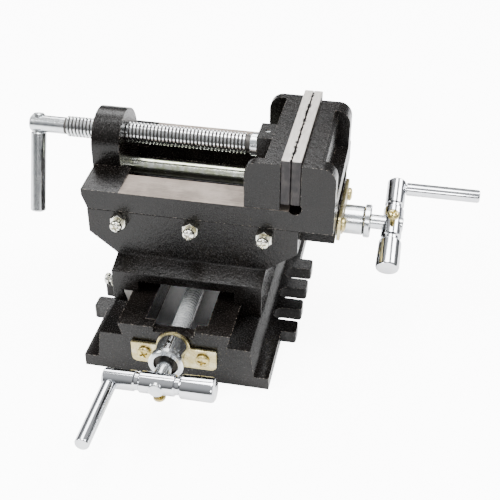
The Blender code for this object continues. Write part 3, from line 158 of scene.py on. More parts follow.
def put(mesh, name, body, finishes, nodes=(), smooth=38.0):
    """Makes a piece from a mesh, shades it smooth up to an angle and hides the nodes it stands for."""
    data = bpy.data.meshes.new(name)
    mesh.to_mesh(data)
    mesh.free()
    made = bpy.data.objects.new(name, data)
    bpy.context.scene.collection.objects.link(made)
    for finish in finishes:
        data.materials.append(finish)
    data.shade_smooth()
    data.set_sharp_from_angle(angle=radians(smooth))
    flats = made.modifiers.new("large_faces_stay_flat", "WEIGHTED_NORMAL")
    flats.keep_sharp = True
    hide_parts(*nodes)
    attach(made, body)
    return made


enamel = sprayed_enamel()
bare_iron = milled_iron()


def bare_where(mesh, is_bare):
    """Gives the second finish to the faces that is_bare picks."""
    for face in mesh.faces:
        face.material_index = int(is_bare(face))


base_low, base_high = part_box("base")
shape = copy_node("base")
ledge_height = 0.0307
ledge_slack = 0.0002
rail_reach = 0.04


def is_ledge(face):
    """Whether a face is part of the flat that the saddle slides on."""
    middle = face.calc_center_median()
    level = abs(face.normal.z) > 0.99 and abs(middle.z - ledge_height) < ledge_slack
    return level and abs(middle.x) < rail_reach


bare_where(shape, is_ledge)
put(shape, "base_casting", "base", [enamel, bare_iron], ["base"])


# Saddle
# The middle casting. Its legs straddle the rails and its slab carries the crosswise dovetail. Same sand
# casting and black enamel as the base.

put(copy_node("saddle"), "saddle_casting", "saddle", [enamel], ["saddle"])


# Gibs
# Ground steel strips between the saddle and the dovetails, pressed home by their screws. They take up the
# wear, and only their ends show.

def ground_steel():
    """Steel ground on a surface grinder. Fine parallel scratches run one way, with a light oily bloom."""
    made, tree, shader, place = start_finish("surface_ground_tool_steel")
    along = add(tree, "Mapping", {"Vector": place, "Scale": (1.0, 0.03, 1.0)}).outputs[0]
    scratch = speckle(tree, along, 0.00035, 2.0)
    bloom = speckle(tree, place, 0.0090, 3.0)
    tone = blend_colours(tree, rise(tree, scratch, 0.35, 0.7), srgb("#b4b1ac"), srgb("#cdcac5"))
    tone = blend_colours(tree, rise(tree, bloom, 0.5, 0.8, 0.0, 0.5), tone, srgb("#99948d"))
    tree.links.new(tone, shader.inputs["Base Color"])
    tree.links.new(rise(tree, scratch, 0.3, 0.7, 0.34, 0.50), shader.inputs["Roughness"])
    bump = add(tree, "Bump", {"Strength": 0.35, "Distance": 0.00004, "Height": scratch})
    tree.links.new(bump.outputs[0], shader.inputs["Normal"])
    shader.inputs["Metallic"].default_value = 0.75
    return made


ground = ground_steel()
for strip in ("x_gib", "y_gib"):
    put(copy_node(strip), strip + "_strip", "saddle", [ground], [strip])


# Gib screws and lock nuts
# Cross-recessed machine screws through the saddle's wall, each held by a hexagon nut. Steel, zinc plated
# and passivated, so they are bright silver with a faint yellow cast.

def passivated_zinc(name, bright, tinted, share):
    """Electroplated zinc under a thin chromate film. The film's thickness drifts, so the colour does too,
    and the plating is slightly frosted."""
    made, tree, shader, place = start_finish(name)
    film = speckle(tree, place, 0.0040, 3.0)
    frost = speckle(tree, place, 0.0006, 2.0)
    tone = blend_colours(tree, rise(tree, film, 0.5 - share / 2, 1.0 - share / 2), srgb(bright), srgb(tinted))
    tree.links.new(tone, shader.inputs["Base Color"])
    tree.links.new(rise(tree, frost, 0.3, 0.7, 0.17, 0.27), shader.inputs["Roughness"])
    bump = add(tree, "Bump", {"Strength": 0.06, "Distance": 0.00003, "Height": frost})
    tree.links.new(bump.outputs[0], shader.inputs["Normal"])
    shader.inputs["Metallic"].default_value = 1.0
    return made


screw_zinc = passivated_zinc("clear_passivated_zinc_plate", "#e4e3dc", "#d3ceaf", 0.3)


def turned(mesh, profile, centre, aim, steps=40):
    """Spins (along, radius) pairs once about a line from centre, ends closed on the line."""
    aim = Vector(aim).normalized()
    side = aim.orthogonal().normalized()
    points = [mesh.verts.new(Vector(centre) + aim * along + side * radius) for along, radius in profile]
    edges = [mesh.edges.new(pair) for pair in zip(points, points[1:])]
    bmesh.ops.spin(mesh, geom=points + edges, cent=centre, axis=aim, angle=2 * pi, steps=steps,
                   use_merge=True)
    bmesh.ops.remove_doubles(mesh, verts=mesh.verts, dist=1e-6)
    bmesh.ops.recalc_face_normals(mesh, faces=mesh.faces)


def solid(mesh, name):
    """A bare object for a cut, which isn't part of the scene afterwards."""
    data = bpy.data.meshes.new(name)
    mesh.to_mesh(data)
    mesh.free()
    made = bpy.data.objects.new(name, data)
    bpy.context.scene.collection.objects.link(made)
    return made


def shaped_by(first, second, operation):
    """The first mesh cut by, or cut down to, the second one."""
    target = solid(first, "blank")
    tool = solid(second, "tool")
    step = target.modifiers.new("cut", "BOOLEAN")
    step.operation = operation
    step.object = tool
    graph = bpy.context.evaluated_depsgraph_get()
    graph.update()
    mesh = bmesh.new()
    mesh.from_object(target, graph)
    bpy.data.objects.remove(target)
    bpy.data.objects.remove(tool)
    return mesh


def dome(start, radius, height):
    """Profile of a pan head from its rim to its crown."""
    rim = 0.45 * height
    arc = [(start + rim + (height - rim) * sin(turn), radius * (0.30 + 0.70 * cos(turn)))
           for turn in (pi / 2 * step / 7 for step in range(8))]
    return [(start, radius - 0.0002), (start + 0.0002, radius)] + arc + [(start + height, 0)]


def cross_screw(centre, aim, tip, shank, under, radius, height, turn):
    """Screw from tip to its head, which starts at under, with a cross recess cut into the crown."""
    aim = Vector(aim)
    screw = bmesh.new()
    profile = [(tip, 0), (tip, shank - 0.0003), (tip + 0.0003, shank), (under, shank)]
    turned(screw, profile + dome(under, radius, height), centre, aim)
    spread = aim.orthogonal().normalized()
    spread.rotate(Matrix.Rotation(turn, 3, aim))
    cross = bmesh.new()
    floor = under + 0.30 * height
    for way in (spread, aim.cross(spread)):
        bar = bmesh.ops.create_cube(cross, size=1)["verts"]
        bmesh.ops.scale(cross, vec=(1.25 * radius, 0.34 * radius, height), verts=bar)
        axes = Matrix((way, aim.cross(way), aim)).transposed()
        bmesh.ops.rotate(cross, cent=(0, 0, 0), matrix=axes, verts=bar)
        bmesh.ops.translate(cross, vec=Vector(centre) + aim * (floor + height / 2), verts=bar)
        if way == spread:
            first = shaped_by(screw, cross, "DIFFERENCE")
            cross = bmesh.new()
    return shaped_by(first, cross, "DIFFERENCE")


def lock_nut(centre, aim, start, end, flats, bore):
    """Hexagon nut with both faces chamfered to a circle, and a plain bore."""
    aim = Vector(aim)
    across = flats / cos(pi / 6)
    hexagon = bmesh.new()
    points = bmesh.ops.create_cone(hexagon, cap_ends=True, segments=6, radius1=across / 2, radius2=across / 2,
                                   depth=end - start)["verts"]
    turn = Vector((0, 0, 1)).rotation_difference(aim).to_matrix()
    bmesh.ops.rotate(hexagon, cent=(0, 0, 0), matrix=turn, verts=points)
    bmesh.ops.translate(hexagon, vec=Vector(centre) + aim * (start + end) / 2, verts=points)
    crown = bmesh.new()
    slope = 0.5 * (across - flats)
    profile = [(start, 0), (start, flats / 2), (start + slope, across / 2 + 0.0001)]
    profile += [(end - slope, across / 2 + 0.0001), (end, flats / 2), (end, 0)]
    turned(crown, profile, centre, aim, 48)
    nut = shaped_by(hexagon, crown, "INTERSECT")
    over = 0.001
    drill = bmesh.new()
    turned(drill, [(start - over, 0), (start - over, bore), (end + over, bore), (end + over, 0)], centre, aim)
    return shaped_by(nut, drill, "DIFFERENCE")


def node_span(node, aim):
    """Centre of the node across aim, and where it starts and ends along aim from there."""
    low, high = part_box(node)
    middle = (low + high) / 2
    aim = Vector(aim)
    half = abs((high - low).dot(aim)) / 2
    return middle - aim * middle.dot(aim), middle.dot(aim) - half, middle.dot(aim) + half


gib_head_height = 0.0034
gib_head_radius = 0.0040
thread_radius = 0.0025
nut_bore = thread_radius + 0.00005
nut_flats = 0.0100
for side, out in (("x", (0, -1, 0)), ("y", (-1, 0, 0))):
    for number in (1, 2, 3):
        node = f"{side}_gib_screw_{number}"
        centre, tip, crown = node_span(node, out)
        shape = cross_screw(centre, out, tip, thread_radius, crown - gib_head_height, gib_head_radius,
                            gib_head_height, radians(25 + 40 * number))
        put(shape, f"{node}_cross_recessed", "saddle", [screw_zinc], [node])
        node = f"{side}_gib_lock_nut_{number}"
        centre, start, end = node_span(node, out)
        shape = lock_nut(centre, out, start, end, nut_flats, nut_bore)
        put(shape, f"{node}_hexagon", "saddle", [screw_zinc], [node], 25.0)


# Lead screws and their nuts
# Rolled steel screws with a trapezoidal thread of 2.5 mm pitch, zinc plated, running in machined bronze
# nuts under the saddle and in its channel. The plain end carries the collar and the crank.

def zinc_thread_with_painted_root_shade(crest, depth, line, metallic):
    """Zinc plate on a used screw, with the roots painted dark as the shade between the turns and the crests
    worn bright. line holds the two axes across the screw, each with the centre's place on it, and metallic is
    lower where the thread lies in shadow and oil hides more of its plate."""
    diameter_mm = 2 * 1000 * crest
    made, tree, shader, place = start_finish(f"oily_zinc_plate_on_{diameter_mm:.0f}_mm_thread")
    parts = add(tree, "SeparateXYZ", {"Vector": place}).outputs
    squares = []
    for axis, middle in line:
        off = add(tree, "Math", {0: parts[axis], 1: middle}, operation="SUBTRACT").outputs[0]
        squares.append(add(tree, "Math", {0: off, 1: 2.0}, operation="POWER").outputs[0])
    total = add(tree, "Math", {0: squares[0], 1: squares[1]}, operation="ADD").outputs[0]
    radius = add(tree, "Math", {0: total, 1: 0.5}, operation="POWER").outputs[0]
    # Dark grey at the roots is painted shade between the turns; the crests keep the plate's colour.
    rubbed_and_painted_light = rise(tree, radius, crest - 0.95 * depth, crest - 0.55 * depth)
    film = speckle(tree, place, 0.0022, 3.0)
    plate = blend_colours(tree, rise(tree, film, 0.4, 0.7), srgb("#eceded"), srgb("#c9ccce"))
    tree.links.new(blend_colours(tree, rubbed_and_painted_light, srgb("#4a4846"), plate), shader.inputs["Base Color"])
    tree.links.new(rise(tree, rubbed_and_painted_light, 0.0, 1.0, 0.50, 0.18), shader.inputs["Roughness"])
    shader.inputs["Metallic"].default_value = metallic
    return made


bright_zinc = passivated_zinc("blue_passivated_zinc_plate", "#dfe1e2", "#c8ccd0", 0.4)
pitch = 0.0025


def machined_bronze():
    """Cast bronze sawn and milled square. It has dulled to brown in the hollows between tool marks."""
    made, tree, shader, place = start_finish("milled_bearing_bronze")
    marks = speckle(tree, place, 0.0010, 3.0)
    tone = blend_colours(tree, rise(tree, marks, 0.3, 0.7), srgb("#8a6236"), srgb("#b58a52"))
    tree.links.new(tone, shader.inputs["Base Color"])
    tree.links.new(rise(tree, marks, 0.3, 0.7, 0.48, 0.32), shader.inputs["Roughness"])
    shader.inputs["Metallic"].default_value = 1.0
    return made


def threaded(mesh, centre, aim, start, end, crest, depth, steps=28):
    """Right-handed trapezoidal thread from start to end, closed at both ends."""
    aim = Vector(aim).normalized()
    side = aim.orthogonal().normalized()
    turns = int((end - start) / pitch) - 1
    root = crest - depth
    shape = [(0.00, root), (0.22, root), (0.40, crest), (0.82, crest), (1.00, root)]
    points = [mesh.verts.new(Vector(centre) + aim * (start + share * pitch) + side * radius)
              for share, radius in shape]
    edges = [mesh.edges.new(pair) for pair in zip(points, points[1:])]
    bmesh.ops.spin(mesh, geom=points + edges, cent=centre, axis=aim, dvec=aim * pitch / steps,
                   angle=2 * pi * turns, steps=steps * turns)
    bmesh.ops.remove_doubles(mesh, verts=mesh.verts, dist=1e-5)
    bmesh.ops.holes_fill(mesh, edges=[edge for edge in mesh.edges if edge.is_boundary], sides=0)
    bmesh.ops.recalc_face_normals(mesh, faces=mesh.faces)


def lead_screw(node, body, out, shoulder, name):
    """Thread with a short plain end of full diameter, and the journal out to the crank."""
    centre, inner, outer = node_span(node, out)
    shape = bmesh.new()
    crest, depth, journal = 0.0060, 0.0011, 0.0050
    root = crest - depth
    run_out, chamfer = 0.0020, 0.0006
    threaded(shape, centre, out, inner + 0.0010, shoulder - 0.0010, crest, depth)
    turned(shape, [(inner, 0), (inner, root - chamfer / 2), (inner + chamfer / 2, root),
                   (shoulder - run_out, root), (shoulder - run_out, crest),
                   (shoulder - 0.0001, crest), (shoulder, journal), (outer - chamfer, journal),
                   (outer, journal - chamfer), (outer, 0)], centre, out)
    line = [(axis, centre["XYZ".index(axis)]) for axis in "XYZ" if not out["XYZ".index(axis)]]
    threads = zinc_thread_with_painted_root_shade(crest, depth, line, 0.55)
    bare_where(shape, lambda face: (face.calc_center_median() - centre).dot(Vector(out)) < shoulder - run_out)
    return put(shape, name, body, [bright_zinc, threads], [node], 32.0)


front_out = (0, -1, 0)
side_out = (1, 0, 0)
end_wall = 0.0080
front_shoulder = -(base_low.y + end_wall + 0.0003)
side_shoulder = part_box("vise_body")[1].x - 0.0003
lead_screw("y_lead_screw", "y_crank", front_out, front_shoulder, "front_lead_screw")
lead_screw("x_lead_screw", "x_crank", side_out, side_shoulder, "side_lead_screw")

bronze = machined_bronze()
for node in ("y_nut", "x_nut"):
    put(copy_node(node), node + "_block", "saddle", [bronze], [node])
for node in ("y_nut_screw", "x_nut_screw"):
    put(copy_node(node), node + "_countersunk", "saddle", [bright_zinc], [node])


# Brackets, their screws and bushings
# Each lead screw is held by a stamped steel bracket with a round eye, fixed by two pan head screws. Both
# are yellow passivated. A turned steel bushing with an oil hole stands out from the eye.

def yellow_passivate(name, pale, straw, rose):
    """Zinc plate under a yellow chromate. It runs from straw to a pale rose where the film is thin, and
    forming leaves the plate slightly satin."""
    made, tree, shader, place = start_finish(name)
    film = speckle(tree, place, 0.0060, 3.0)
    satin = speckle(tree, place, 0.0007, 3.0)
    tone = blend_colours(tree, rise(tree, film, 0.30, 0.55), srgb(pale), srgb(straw))
    tone = blend_colours(tree, rise(tree, film, 0.56, 0.75), tone, srgb(rose))
    tree.links.new(tone, shader.inputs["Base Color"])
    tree.links.new(rise(tree, satin, 0.3, 0.7, 0.24, 0.36), shader.inputs["Roughness"])
    bump = add(tree, "Bump", {"Strength": 0.2, "Distance": 0.00004, "Height": satin})
    tree.links.new(bump.outputs[0], shader.inputs["Normal"])
    shader.inputs["Metallic"].default_value = 1.0
    return made


def recess_shade_steel_surface():
    """Turned steel painted nearly black as the shade inside a counterbore and an oil hole, with a dull
    shine."""
    made, tree, shader, place = start_finish("turned_steel_painted_dark_for_recess_shade")
    film = speckle(tree, place, 0.0020, 3.0)
    tree.links.new(blend_colours(tree, film, srgb("#1c1a18"), srgb("#38342f")), shader.inputs["Base Color"])
    tree.links.new(rise(tree, film, 0.3, 0.7, 0.30, 0.50), shader.inputs["Roughness"])
    shader.inputs["Metallic"].default_value = 0.7
    return made


recess_shade_steel = recess_shade_steel_surface()
yellow_zinc = yellow_passivate("yellow_passivated_stamped_steel", "#d0c7a2", "#bbad7d", "#c5b99c")
gold_screws = yellow_passivate("yellow_passivated_headed_steel", "#d2c795", "#bdac72", "#c7b894")
bracket_head_height = 0.0026
bracket_head_radius = 0.0045
bushing_bore = 0.00505
bushing_radius = 0.0100
oil_radius = 0.0013
for side, body, out in (("y", "base", front_out), ("x", "table", side_out)):
    put(copy_node(f"{side}_bracket"), f"{side}_stamped_bracket", body, [yellow_zinc],
        [f"{side}_bracket"], 30.0)
    shaft, start, end = node_span(f"{side}_bushing", out)
    sleeve = bmesh.new()
    turned(sleeve, [(start, bushing_bore), (start, bushing_radius - 0.0004),
                    (start + 0.0004, bushing_radius), (end - 0.0006, bushing_radius),
                    (end, bushing_radius - 0.0006), (end, bushing_bore), (start, bushing_bore)],
           shaft, out, 64)
    oil_way = Vector((0, 0, 1 if side == "y" else -1))
    oil_place = shaft + Vector(out) * (start + end) / 2
    oil_hole = bmesh.new()
    turned(oil_hole, [(0.0030, 0), (0.0030, oil_radius), (0.0120, oil_radius), (0.0120, 0)],
           oil_place, oil_way, 20)
    shape = shaped_by(sleeve, oil_hole, "DIFFERENCE")
    # The oil hole's walls take the near-black finish, a painted shade inside the hole.
    for face in shape.faces:
        off = face.calc_center_median() - oil_place
        along = off.dot(oil_way)
        across = (off - oil_way * along).length
        face.material_index = int(along > 0 and across < oil_radius + 0.00005)
    put(shape, f"{side}_turned_bushing", body, [bright_zinc, recess_shade_steel],
        [f"{side}_bushing"], 30.0)
    for number in (1, 2):
        node = f"{side}_bracket_screw_{number}"
        centre, tip, crown = node_span(node, out)
        shape = cross_screw(centre, out, tip, thread_radius, crown - bracket_head_height, bracket_head_radius,
                            bracket_head_height, radians(35 * number))
        put(shape, f"{node}_cross_recessed", body, [gold_screws], [node])


# Cranks
# A turned steel bar across the end of each lead screw, heavier at one end, with a handle riveted into the
# light end and a set screw in its hub. Bar and handle are polished and chrome plated, and the thrust
# collar behind them is zinc plated, with its counterbore painted nearly black as shade.

def chrome_plate():
    """Nickel and chromium over polished steel. Nearly a mirror, slightly blue, with a few hazy patches and a
    faint ripple."""
    made, tree, shader, place = start_finish("polished_chromium_plate")
    haze = speckle(tree, place, 0.0120, 3.0)
    tone = blend_colours(tree, rise(tree, haze, 0.3, 0.7), srgb("#dcdde0"), srgb("#cfd1d5"))
    tree.links.new(tone, shader.inputs["Base Color"])
    tree.links.new(rise(tree, haze, 0.35, 0.75, 0.06, 0.13), shader.inputs["Roughness"])
    ripple = add(tree, "Bump", {"Strength": 0.12, "Distance": 0.00005, "Height": haze})
    tree.links.new(ripple.outputs[0], shader.inputs["Normal"])
    shader.inputs["Metallic"].default_value = 1.0
    return made


hub_radius = 0.00685


def crank_bar(mesh, centre, way, thin, thick):
    """Bar with its light end, hub and heavy end, parted by two grooves."""
    hub, groove = 0.0110, 0.0030
    light, sunk = 0.0065, 0.0057
    profile = [(-thin, 0), (-thin, 0.0050), (-thin + 0.0005, 0.0058), (-thin + 0.0015, light)]
    profile += [(-hub - groove - 0.0008, light), (-hub - groove, sunk), (-hub - 0.0008, sunk)]
    profile += [(-hub, 0.0066), (-hub + 0.0004, hub_radius), (hub - 0.0004, hub_radius), (hub, 0.0066)]
    profile += [(hub + 0.0008, sunk), (hub + groove, sunk), (hub + groove + 0.0010, 0.0073)]
    profile += [(hub + groove + 0.0016, 0.0076), (thick - 0.0022, 0.0079), (thick - 0.0008, 0.0074)]
    profile += [(thick, 0.0060), (thick, 0)]
    turned(mesh, profile, centre, way, 64)


chrome = chrome_plate()
light_end, heavy_end = 0.0349, 0.0364
collar_bore, collar_radius = 0.0051, 0.0114
sink_radius, sink_depth = 0.0080, 0.0020
handle_radius, rivet_radius = 0.0045, 0.0030
handle_gap = 0.0065 + 0.0003
set_tip, set_shank = 0.0053, 0.0020
set_head_radius, set_head_height, set_stand_off = 0.0040, 0.0030, 0.0032
front_face, front_reach, side_reach = 0.0040, 0.0375, 0.0355
crank_out = {"y": front_face + front_reach, "x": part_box("vise_body")[1].x + side_reach}
front_tilt = radians(-1.6)
side_tilt = radians(-24.0)
ways = {"y": Vector((cos(front_tilt), 0, -sin(front_tilt))),
        "x": Vector((0, -cos(side_tilt), sin(side_tilt)))}
for side, body, out in (("y", "y_crank", front_out), ("x", "x_crank", side_out)):
    way, out = ways[side], Vector(out)
    shaft, start, end = node_span(f"{side}_collar", out)
    shape = bmesh.new()
    turned(shape, [(start, collar_bore), (start, collar_radius - 0.0008), (start + 0.0008, collar_radius),
                   (end - 0.0008, collar_radius), (end, collar_radius - 0.0007),
                   (end, sink_radius + 0.0003), (end - 0.0003, sink_radius),
                   (end - sink_depth, sink_radius), (end - sink_depth, collar_bore),
                   (start, collar_bore)], shaft, out, 64)
    # The counterbore's faces take the near-black finish, a painted shade inside the recess.
    mouth = end - 0.0002
    for face in shape.faces:
        middle = face.calc_center_median()
        along = middle.dot(out)
        across = (middle - shaft - out * along).length
        face.material_index = int(along < mouth and across < sink_radius + 0.0001)
    put(shape, f"{side}_thrust_collar", body, [bright_zinc, recess_shade_steel],
        [f"{side}_collar"], 30.0)

    hub_out = crank_out[side]
    shape = bmesh.new()
    crank_bar(shape, shaft + out * hub_out, way, light_end, heavy_end)
    put(shape, f"{side}_crank_bar_polished", body, [chrome], [f"{side}_crank_bar"], 30.0)

    stem, start, end = node_span(f"{side}_crank_handle", out)
    neck = hub_out + handle_gap
    shape = bmesh.new()
    turned(shape, [(start, 0), (start, rivet_radius), (neck, rivet_radius), (neck, handle_radius - 0.0003),
                   (neck + 0.0004, handle_radius), (end - 0.0012, handle_radius),
                   (end - 0.0004, handle_radius - 0.0004), (end, 0.0034), (end, 0)], stem, out, 48)
    put(shape, f"{side}_crank_handle_bar", body, [chrome], [f"{side}_crank_handle"], 30.0)

    aim = -out.cross(way)
    under = hub_radius + set_stand_off
    shape = cross_screw(shaft + out * hub_out, aim, set_tip, set_shank, under, set_head_radius,
                        set_head_height, radians(20))
    put(shape, f"{side}_set_screw", body, [gold_screws],
        [f"{side}_crank_set_screw"], 30.0)


# Vise body
# The upper casting: tongue, bed, nut post and fixed jaw in one. Enamelled black all over, then the bed
# rails are milled, which leaves them bare.

shape = copy_node("vise_body")
bed_slack = 0.0001
plate_lift = 0.0048
bed_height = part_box("fixed_jaw_plate")[0].z - plate_lift
bare_where(shape, lambda face: (face.normal.z > 0.999
                                and abs(face.calc_center_median().z - bed_height) < bed_slack))
put(shape, "vise_body_casting", "table", [enamel, bare_iron], ["vise_body"])


# Jaw plates
# Two hardened steel plates, oxidised black and then ground along the top, screwed to the jaws with cheese
# head screws sunk below their working faces.

def blackened_steel():
    """Steel oxidised black in hot salts. It is a satin charcoal, browner where it is thin, and keeps the
    rolled skin's fine pits."""
    made, tree, shader, place = start_finish("black_oxide_on_rolled_steel")
    thin = speckle(tree, place, 0.0060, 4.0)
    pits = speckle(tree, place, 0.0008, 3.0)
    tone = blend_colours(tree, rise(tree, thin, 0.35, 0.75), srgb("#1d1b1c"), srgb("#353130"))
    tree.links.new(tone, shader.inputs["Base Color"])
    tree.links.new(rise(tree, pits, 0.3, 0.7, 0.42, 0.60), shader.inputs["Roughness"])
    bump = add(tree, "Bump", {"Strength": 0.5, "Distance": 0.00010, "Height": pits})
    tree.links.new(bump.outputs[0], shader.inputs["Normal"])
    shader.inputs["Metallic"].default_value = 0.35
    return made


def ground_with_nicks(name, edge):
    """The ground top of a jaw plate. Its working edge, at edge metres along X, is nicked and burred from
    use, so dark notches up to 1.25 mm deep break it."""
    made, tree, shader, place = start_finish(name)
    lay = add(tree, "Mapping", {"Vector": place, "Scale": (1.0, 0.05, 1.0)}).outputs[0]
    scratch = speckle(tree, lay, 0.00040, 2.0)
    bloom = speckle(tree, place, 0.0080, 3.0)
    notch = speckle(tree, place, 0.0034, 4.0)
    across = add(tree, "SeparateXYZ", {"Vector": place}).outputs["X"]
    off = add(tree, "Math", {0: across, 1: edge}, operation="SUBTRACT").outputs[0]
    away = add(tree, "Math", {0: off}, operation="ABSOLUTE").outputs[0]
    deep = rise(tree, notch, 0.42, 0.68, 0.00022, 0.00125)
    past = add(tree, "Math", {0: away, 1: deep}, operation="SUBTRACT").outputs[0]
    whole = rise(tree, past, -0.00012, 0.00012)
    tone = blend_colours(tree, rise(tree, scratch, 0.35, 0.7), srgb("#b9b4ae"), srgb("#d2cdc7"))
    tone = blend_colours(tree, rise(tree, bloom, 0.5, 0.8, 0.0, 0.5), tone, srgb("#a29b93"))
    tree.links.new(blend_colours(tree, whole, srgb("#1a1817"), tone), shader.inputs["Base Color"])
    tree.links.new(rise(tree, scratch, 0.3, 0.7, 0.34, 0.50), shader.inputs["Roughness"])
    shader.inputs["Metallic"].default_value = 0.6
    return made


black_oxide = blackened_steel()
for node, body, side in (("fixed_jaw_plate", "table", 0), ("moving_jaw_plate", "moving_jaw", 1)):
    shape = copy_node(node)
    bare_where(shape, lambda face: face.normal.z > 0.5)
    nicked = ground_with_nicks(f"ground_top_of_{node}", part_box(node)[side].x)
    put(shape, node + "_ground", body, [black_oxide, nicked], [node])
    for number in (1, 2):
        screw = f"{node}_screw_{number}"
        put(copy_node(screw), screw + "_cheese_head", body, [bright_zinc], [screw])


# Moving jaw
# A cast bar with a wing at each end, a boss for the screw and a keel that runs in the bed's trough. Black
# enamel like the rest.

put(copy_node("moving_jaw"), "moving_jaw_casting", "moving_jaw", [enamel],
    ["moving_jaw"])
put(copy_node("jaw_screw_retainer"), "retaining_screw", "moving_jaw", [bright_zinc],
    ["jaw_screw_retainer"])


# Jaw screw, handle and guide rod
# A zinc plated screw of 14 mm with the same 2.5 mm pitch, a collar against the jaw and a plain end for
# the sliding handle. The guide rod below it is plain bar with a yellow-green passivate.

guide_zinc = passivated_zinc("yellow_green_passivated_zinc_plate", "#e2e4dc", "#bfc4a4", 0.5)
out = (1, 0, 0)
centre, left, right = node_span("jaw_screw", out)
tenon_length, gap, jaw_collar_length, plain_end = 0.0125, 0.0003, 0.0045, 0.0250
collar_end = right - tenon_length - gap
collar_start = collar_end - jaw_collar_length
thread_start = left + plain_end
crest, depth = 0.0070, 0.0012
root = crest - depth
jaw_collar, tenon = 0.0078, 0.0045
shape = bmesh.new()
threaded(shape, centre, out, thread_start + 0.0004, collar_start - 0.0004, crest, depth)
turned(shape, [(left, 0), (left, root - 0.0008), (left + 0.0008, root), (thread_start, root),
               (collar_start - 0.0010, root), (collar_start - 0.0004, crest), (collar_start, crest),
               (collar_start + 0.0002, jaw_collar), (collar_end - 0.0004, jaw_collar),
               (collar_end, jaw_collar - 0.0004), (collar_end, tenon), (right, tenon), (right, 0)],
       centre, out)
threads = zinc_thread_with_painted_root_shade(crest, depth, [("Y", centre.y), ("Z", centre.z)], 1.0)
bare_where(shape, lambda face: thread_start < face.calc_center_median().x < collar_start - 0.0010)
put(shape, "jaw_screw_threaded", "jaw_spindle", [bright_zinc, threads],
    ["jaw_screw"], 32.0)

tilt = radians(20.0)
handle_way = Vector((0, sin(tilt), cos(tilt)))
eye_along = -0.1178
handle_eye = Vector((eye_along, centre.y, centre.z))
bar_end, bar_neck, bar_top = -0.0620, -0.0061, 0.0062
bar_radius, neck_radius = 0.00525, 0.0040
shape = bmesh.new()
turned(shape, [(bar_end, 0), (bar_end, 0.0038), (bar_end + 0.0005, 0.0047), (bar_end + 0.0012, bar_radius),
               (bar_neck - 0.0005, bar_radius), (bar_neck, 0.0048), (bar_neck, neck_radius),
               (bar_top, neck_radius), (bar_top + 0.0008, 0.0032), (bar_top + 0.0010, 0)],
       handle_eye, handle_way, 56)
put(shape, "jaw_handle_bar", "jaw_spindle", [bright_zinc], ["jaw_screw_handle"], 30.0)

centre, left, right = node_span("guide_rod", out)
rod_radius, rod_face, rod_chamfer = 0.00575, 0.0047, 0.0008
shape = bmesh.new()
turned(shape, [(left, 0), (left, rod_face), (left + rod_chamfer, rod_radius),
               (right - rod_chamfer, rod_radius), (right, rod_face), (right, 0)], centre, out, 56)
put(shape, "guide_bar", "moving_jaw", [guide_zinc], ["guide_rod"], 30.0)


# Studio
# A pale seamless floor under large soft boxes, in a pale surround that is brightest overhead. The floor
# glows for the viewer, so that the ground shows white.

def studio_floor():
    """Matt white paper, lit from below like a light table, so that it shows nearly pure white. Its glow fades
    out under the base, a painted shadow on the floor there, and what the object sees of it is dimmer than
    what the viewer sees."""
    made, tree, shader, place = start_finish("matt_white_paper")
    fibre = speckle(tree, place, 0.0020, 3.0)
    tree.links.new(blend_colours(tree, fibre, srgb("#fafafa"), srgb("#ffffff")), shader.inputs["Base Color"])
    shader.inputs["Roughness"].default_value = 0.9
    shader.inputs["Emission Color"].default_value = srgb("#ffffff")
    seen = add(tree, "LightPath").outputs["Is Camera Ray"]
    bright = add(tree, "Math", {0: seen, 1: 8.0, 2: 0.7}, operation="MULTIPLY_ADD").outputs[0]
    # The glow fades from the base's outline inwards and is gone 40 mm inside it, a painted shadow on the
    # floor under the base.
    centred = add(tree, "Mapping", {"Vector": place, "Location": -(base_low + base_high) / 2}).outputs[0]
    parts = add(tree, "SeparateXYZ", {"Vector": centred}).outputs
    outside = []
    for axis, half in (("X", (base_high.x - base_low.x) / 2), ("Y", (base_high.y - base_low.y) / 2)):
        off = add(tree, "Math", {0: parts[axis]}, operation="ABSOLUTE").outputs[0]
        outside.append(rise(tree, off, half - 0.040, half - 0.004))
    beyond = add(tree, "Math", {0: outside[0], 1: outside[1]}, operation="MAXIMUM").outputs[0]
    glow = add(tree, "Math", {0: bright, 1: beyond}, operation="MULTIPLY").outputs[0]
    tree.links.new(glow, shader.inputs["Emission Strength"])
    return made


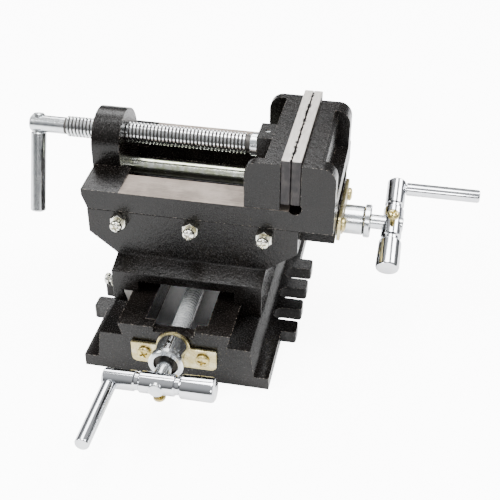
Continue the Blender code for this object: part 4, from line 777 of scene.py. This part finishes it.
floor_mesh = bmesh.new()
bmesh.ops.create_grid(floor_mesh, x_segments=1, y_segments=1, size=6.0)
floor_data = bpy.data.meshes.new("floor")
floor_mesh.to_mesh(floor_data)
floor_mesh.free()
floor_data.materials.append(studio_floor())
floor = bpy.data.objects.new("floor", floor_data)
floor.location = (0, 0, base_low.z - 0.0002)
bpy.context.scene.collection.objects.link(floor)

world = bpy.data.worlds.new("pale_surround")
world.use_nodes = True
tree = world.node_tree
surround = tree.nodes["Background"]
surround.inputs["Color"].default_value = srgb("#f4f6f8")
way_up = add(tree, "SeparateXYZ", {"Vector": add(tree, "TexCoord").outputs["Generated"]}).outputs["Z"]
tree.links.new(rise(tree, way_up, 0.10, 0.95, 0.16, 0.80), surround.inputs["Strength"])
bpy.context.scene.world = world


def soft_box(name, place, target, size, power):
    """Square soft light aimed at a point."""
    data = bpy.data.lights.new(name, "AREA")
    data.size = size
    data.energy = power
    made = bpy.data.objects.new(name, data)
    made.location = place
    made.rotation_euler = (Vector(target) - Vector(place)).to_track_quat("-Z", "Y").to_euler()
    bpy.context.scene.collection.objects.link(made)


middle = (0.02, 0.08, 0.07)
soft_box("left_soft_box", (-0.9, -0.3, 0.9), middle, 0.45, 17)
soft_box("right_soft_box", (0.9, 0.5, 1.1), middle, 0.6, 17)
soft_box("top_soft_box", (0.0, 0.1, 1.4), middle, 0.7, 22)
soft_box("rear_soft_box", (-0.3, 1.0, 1.25), middle, 0.7, 15)
soft_box("front_soft_box", (0.15, -1.2, 0.75), middle, 0.30, 6)


# Camera
# Stands in front, a little to the right and well above, looking down on the cranks. A short telephoto
# lens keeps the castings' edges nearly parallel.

camera_data = bpy.data.cameras.new("camera")
camera_data.lens = 67.0
camera_data.sensor_width = 36.0
camera_data.clip_start = 0.05
camera = bpy.data.objects.new("camera", camera_data)
target = Vector((0.0380, 0.0560, 0.0665))
azimuth, elevation, distance, roll = radians(10.94), radians(35.27), 0.6201, radians(0.29)
back = Vector((sin(azimuth) * cos(elevation), -cos(azimuth) * cos(elevation), sin(elevation)))
camera.location = target + back * distance
aim = (-back).to_track_quat("-Z", "Y").to_matrix().to_4x4() @ Matrix.Rotation(roll, 4, "Z")
camera.rotation_euler = aim.to_euler()
bpy.context.scene.collection.objects.link(camera)
bpy.context.scene.camera = camera
